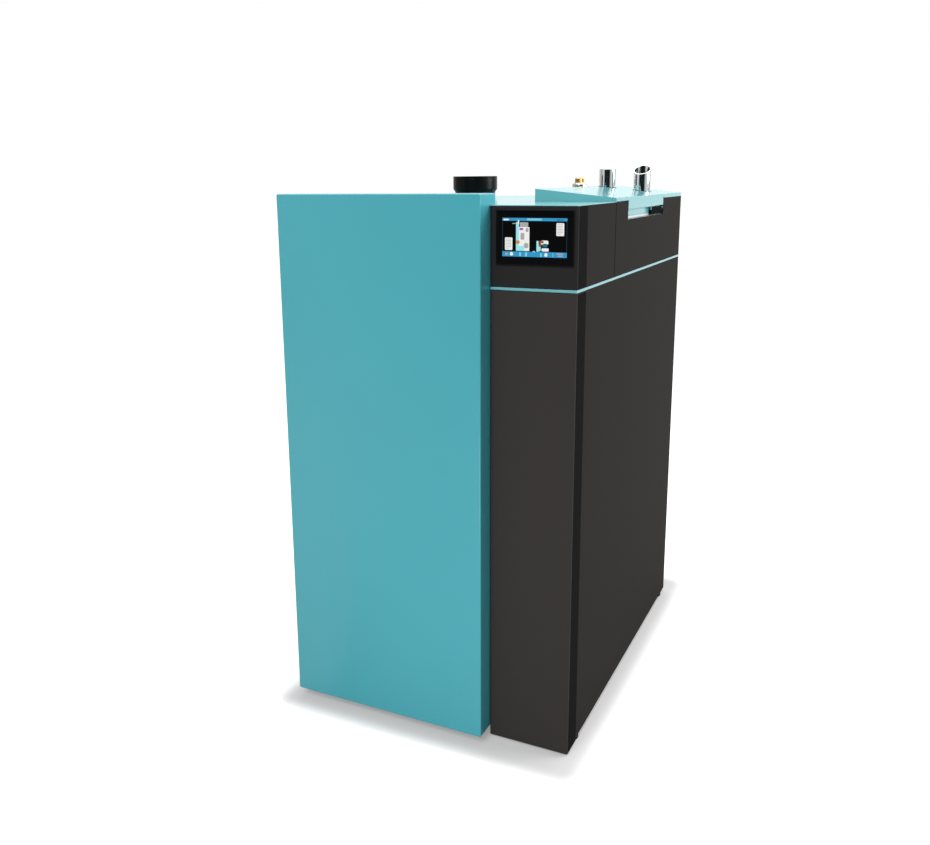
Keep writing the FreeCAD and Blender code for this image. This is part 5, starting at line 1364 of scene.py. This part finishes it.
# %% Mineral wool
low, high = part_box("boiler_insulation")
STRAP, STRAP_WIDE = 0.6 * MM, 16 * MM
corner = bend_line([(low.x - STRAP, low.y + 2 * MM), (low.x - STRAP, high.y + STRAP),
                    (high.x - 2 * MM, high.y + STRAP)], 5 * MM)
levels = [z for z in np.linspace(low.z + 120 * MM, high.z - 140 * MM, 4) if abs(z - 1.0) > 0.05]
for number, z in enumerate(levels):
    make(f"wool_strap_{number + 1}", zinc, "boiler_insulation", folded(corner, z, z + STRAP_WIDE),
         stands_for=False, wall=STRAP)

# %% [markdown]
# ## Water sockets
# Flow and return are one-inch-and-a-quarter male sockets: a pipe, a hexagon for the wrench and a
# threaded end. A thread can be a true helix, but at this size rings of the same pitch look the
# same and stay closed, so the radius simply goes in and out every 1.15 mm.

# %% Water sockets
HEX_PHASE = 0.52
low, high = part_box("water_sockets")
radius = (high.x - low.x) / 2
bore = radius - 6 * MM
THREAD_PITCH = 1.15 * MM
crest = np.arange(high.y - 20 * MM, high.y - 1.5 * MM, THREAD_PITCH)
thread = [(radius - (0.4 + 0.8 * (i % 2)) * MM, y) for i, y in enumerate(crest)]
pipe = ([(bore, low.y), (radius - 1.5 * MM, low.y), (radius - 1.5 * MM, crest[0] - MM)] + thread
        + [(radius - 2 * MM, high.y), (bore, high.y), (bore, low.y)])
face, inside, outside = high.y - 38 * MM, 21.2 * MM, radius - 1.2 * MM
wrench = [(inside, face), (outside, face), (radius, face + 1.2 * MM), (radius, face + 14.8 * MM),
          (outside, face + 16 * MM), (inside, face + 16 * MM), (inside, face)]
pipes, hexes = [], []
for z in (low.z + radius, high.z - radius):
    centre = (low.x + radius, 0, z)
    pipes.append(turned(pipe, centre, "y", 64))
    hexes.append(turned(wrench, centre, "y", 6, HEX_PHASE))
make("socket_pipes", zinc, "water_sockets", *pipes, *hexes)

# %% [markdown]
# ## Drain valve
# Water is let out through a quarter-turn ball valve. Its body has a hexagon at both ends for the
# spanner, a nut holds the lever on its stem, and the lever's red sleeve has six raised ribs.

# %% Drain valve
low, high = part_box("drain_valve")
centre = ((low.x + high.x) / 2, 0, low.z + 16 * MM)
rings = [turned((0, y) + mm((11, 0), (15.6, 0), (15.6, 7), (11, 7), (11, 0)), centre, "y", 6, HEX_PHASE)
         for y in (high.y - 60 * MM, high.y - 12.5 * MM)]
make("drain_hexes", brass, "drain_valve", *rings, stands_for=False)
stem = turned(mm((0, 0), (6.4, 0), (7, 0.7), (7, 4.3), (6.4, 5), (0, 5)),
              (centre[0], high.y - 29 * MM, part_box("drain_lever")[1].z + 0.3 * MM), "z", 6)
make("drain_nut", zinc, "drain_lever", stem, stands_for=False)
low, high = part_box("drain_lever")
sleeve = block((high.x - 44 * MM, low.y + 0.2 * MM, low.z - 1.2 * MM),
               (high.x + 1.5 * MM, high.y - 0.2 * MM, high.z + 1.2 * MM),
               4 * MM, 1.6 * MM, "x", 4)
grips = [block((high.x - (38 - 7 * i) * MM, low.y + 2 * MM, high.z + 0.9 * MM),
               (high.x - (35 - 7 * i) * MM, high.y - 2 * MM, high.z + 2 * MM),
               1 * MM, 0.5 * MM, "z", 2) for i in range(6)]
make("drain_sleeve", red_plastic, "drain_lever", sleeve, *grips, stands_for=False)

# %% [markdown]
# ## Mains inlet and switch
# An appliance inlet with three flat pins sits beside a red rocker switch, marked only with the
# international signs for on and off: a line and a ring, as raised ink.

# %% Inlet and switch
low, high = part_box("power_inlet")
pocket = np.array((low.x + 18 * MM, high.y, low.z + 25 * MM))
blades = [block(pocket + mm(x - 1, -8.5, z - 2.5), pocket + mm(x + 1, -1.5, z + 2.5),
                0.5 * MM, 0.4 * MM, "y", 2)
          for x, z in ((-5, -3), (5, -3), (0, 5))]
lips = [block((low.x + 2 * MM, high.y - MM, z - 0.8 * MM), (high.x - 2 * MM, high.y + 0.8 * MM, z + 0.8 * MM),
              0.7 * MM, 0.5 * MM, "y", 2) for z in (low.z + 3 * MM, high.z - 3 * MM)]
make("inlet_pins", zinc, "power_inlet", *blades, stands_for=False)
make("inlet_rim", black_plastic, "power_inlet", *lips, stands_for=False)

print_white = coated("pad_printed_white_ink", "#E6E6E2", "#EFEFEC", 5, 0.62, 0.5, 0.4, 0.02)
low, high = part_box("main_switch")
across = (low.x + high.x) / 2
sign_on = block((across - 0.7 * MM, high.y - 0.3 * MM, high.z - 11 * MM),
                (across + 0.7 * MM, high.y + 0.08 * MM, high.z - 5 * MM),
                0.3 * MM, 0.05 * MM, "y", 2)
sign_off = turned(mm((2.4, -0.3), (3.4, -0.3), (3.4, 0.08), (2.4, 0.08), (2.4, -0.3)),
                  (across, high.y, low.z + 8 * MM), "y", 40)
make("switch_marks", print_white, "main_switch", sign_on, sign_off, stands_for=False)

# %% [markdown]
# ## Screws and bolts
# Nine button-head screws with a socket hold the back panel, in three columns and three rows. Four
# hexagon bolts with washers hold the burner's flange.

# %% Screws and bolts
low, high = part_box("back_panel")
button = mm((0, 0), (4.9, 0), (4.9, 0.6), (4.2, 2.0), (2.6, 2.9), (1.9, 2.9), (1.9, 1.1), (0, 1.1))
heads = [turned(button, (x, high.y, z), "y", 28)
         for x in (low.x + 12 * MM, (low.x + high.x) / 2, high.x - 12 * MM)
         for z in (40 * MM, 685 * MM, 1322 * MM)]

BOLT_OUT = 74 * MM
SHANK, WASHER = mm((0, -14), (4.9, -14), (4.9, 0), (0, 0)), mm((0, 0), (8.6, 0), (8.6, 1.2), (0, 1.2))
HEXAGON = mm((0, 1), (7.4, 1), (7.9, 1.5), (7.9, 4.4), (7.0, 5), (0, 5))
low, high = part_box("burner_tube")
for side in (-BOLT_OUT, BOLT_OUT):
    for rise in (-BOLT_OUT, BOLT_OUT):
        spot = (high.x, (low.y + high.y) / 2 + side, (low.z + high.z) / 2 + rise)
        heads += [turned(part, spot, "x", steps) for part, steps in ((SHANK, 24), (WASHER, 32), (HEXAGON, 6))]
make("screws_and_bolts", zinc, "fasteners", *heads)

# %% [markdown]
# ## Controller box and cable glands
# The control electronics sit in a grey moulded case behind the display, with a lid, vent slots and
# a row of cable glands below. A gland is a hexagon with a dome nut.

# %% Controller box
low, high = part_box("controller_box")
cover = block((low.x + 6 * MM, low.y + 6 * MM, high.z - MM),
              (high.x - 6 * MM, high.y - 6 * MM, high.z + 1.2 * MM), 6 * MM, 1 * MM)
slots = [block((low.x + 30 * MM, low.y + (60 + 10 * i) * MM, high.z + 0.8 * MM),
               (high.x - 30 * MM, low.y + (63 + 10 * i) * MM, high.z + 1.6 * MM),
               1.4 * MM, 0.3 * MM, "z", 2) for i in range(9)]
make("control_cover", grey_plastic, "controller_box", cover, stands_for=False)
make("control_vents", black_plastic, "controller_box", *slots, stands_for=False)
COLLAR = mm((0, 1), (9, 1), (9, -5), (0, -5))
DOME = mm((0, -4.5), (8.2, -4.5), (8, -9), (6.4, -13), (4.6, -14), (0, -14))
spots = [(low.x + (30 + 30 * i) * MM, high.y - 34 * MM, low.z) for i in range(5)]
glands = [turned(part, spot, "z", steps) for spot in spots for part, steps in ((COLLAR, 6), (DOME, 32))]
make("control_glands", black_plastic, "controller_box", *glands, stands_for=False)

# %% [markdown]
# ## Sizes
# Both boxes are printed: the construction's and the finished model's.

# %% Sizes and finish
visual_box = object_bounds()
for label, (low, high) in (("construction", cad_box), ("finished", visual_box)):
    print(label, [round(v, 4) for v in low], [round(v, 4) for v in high])
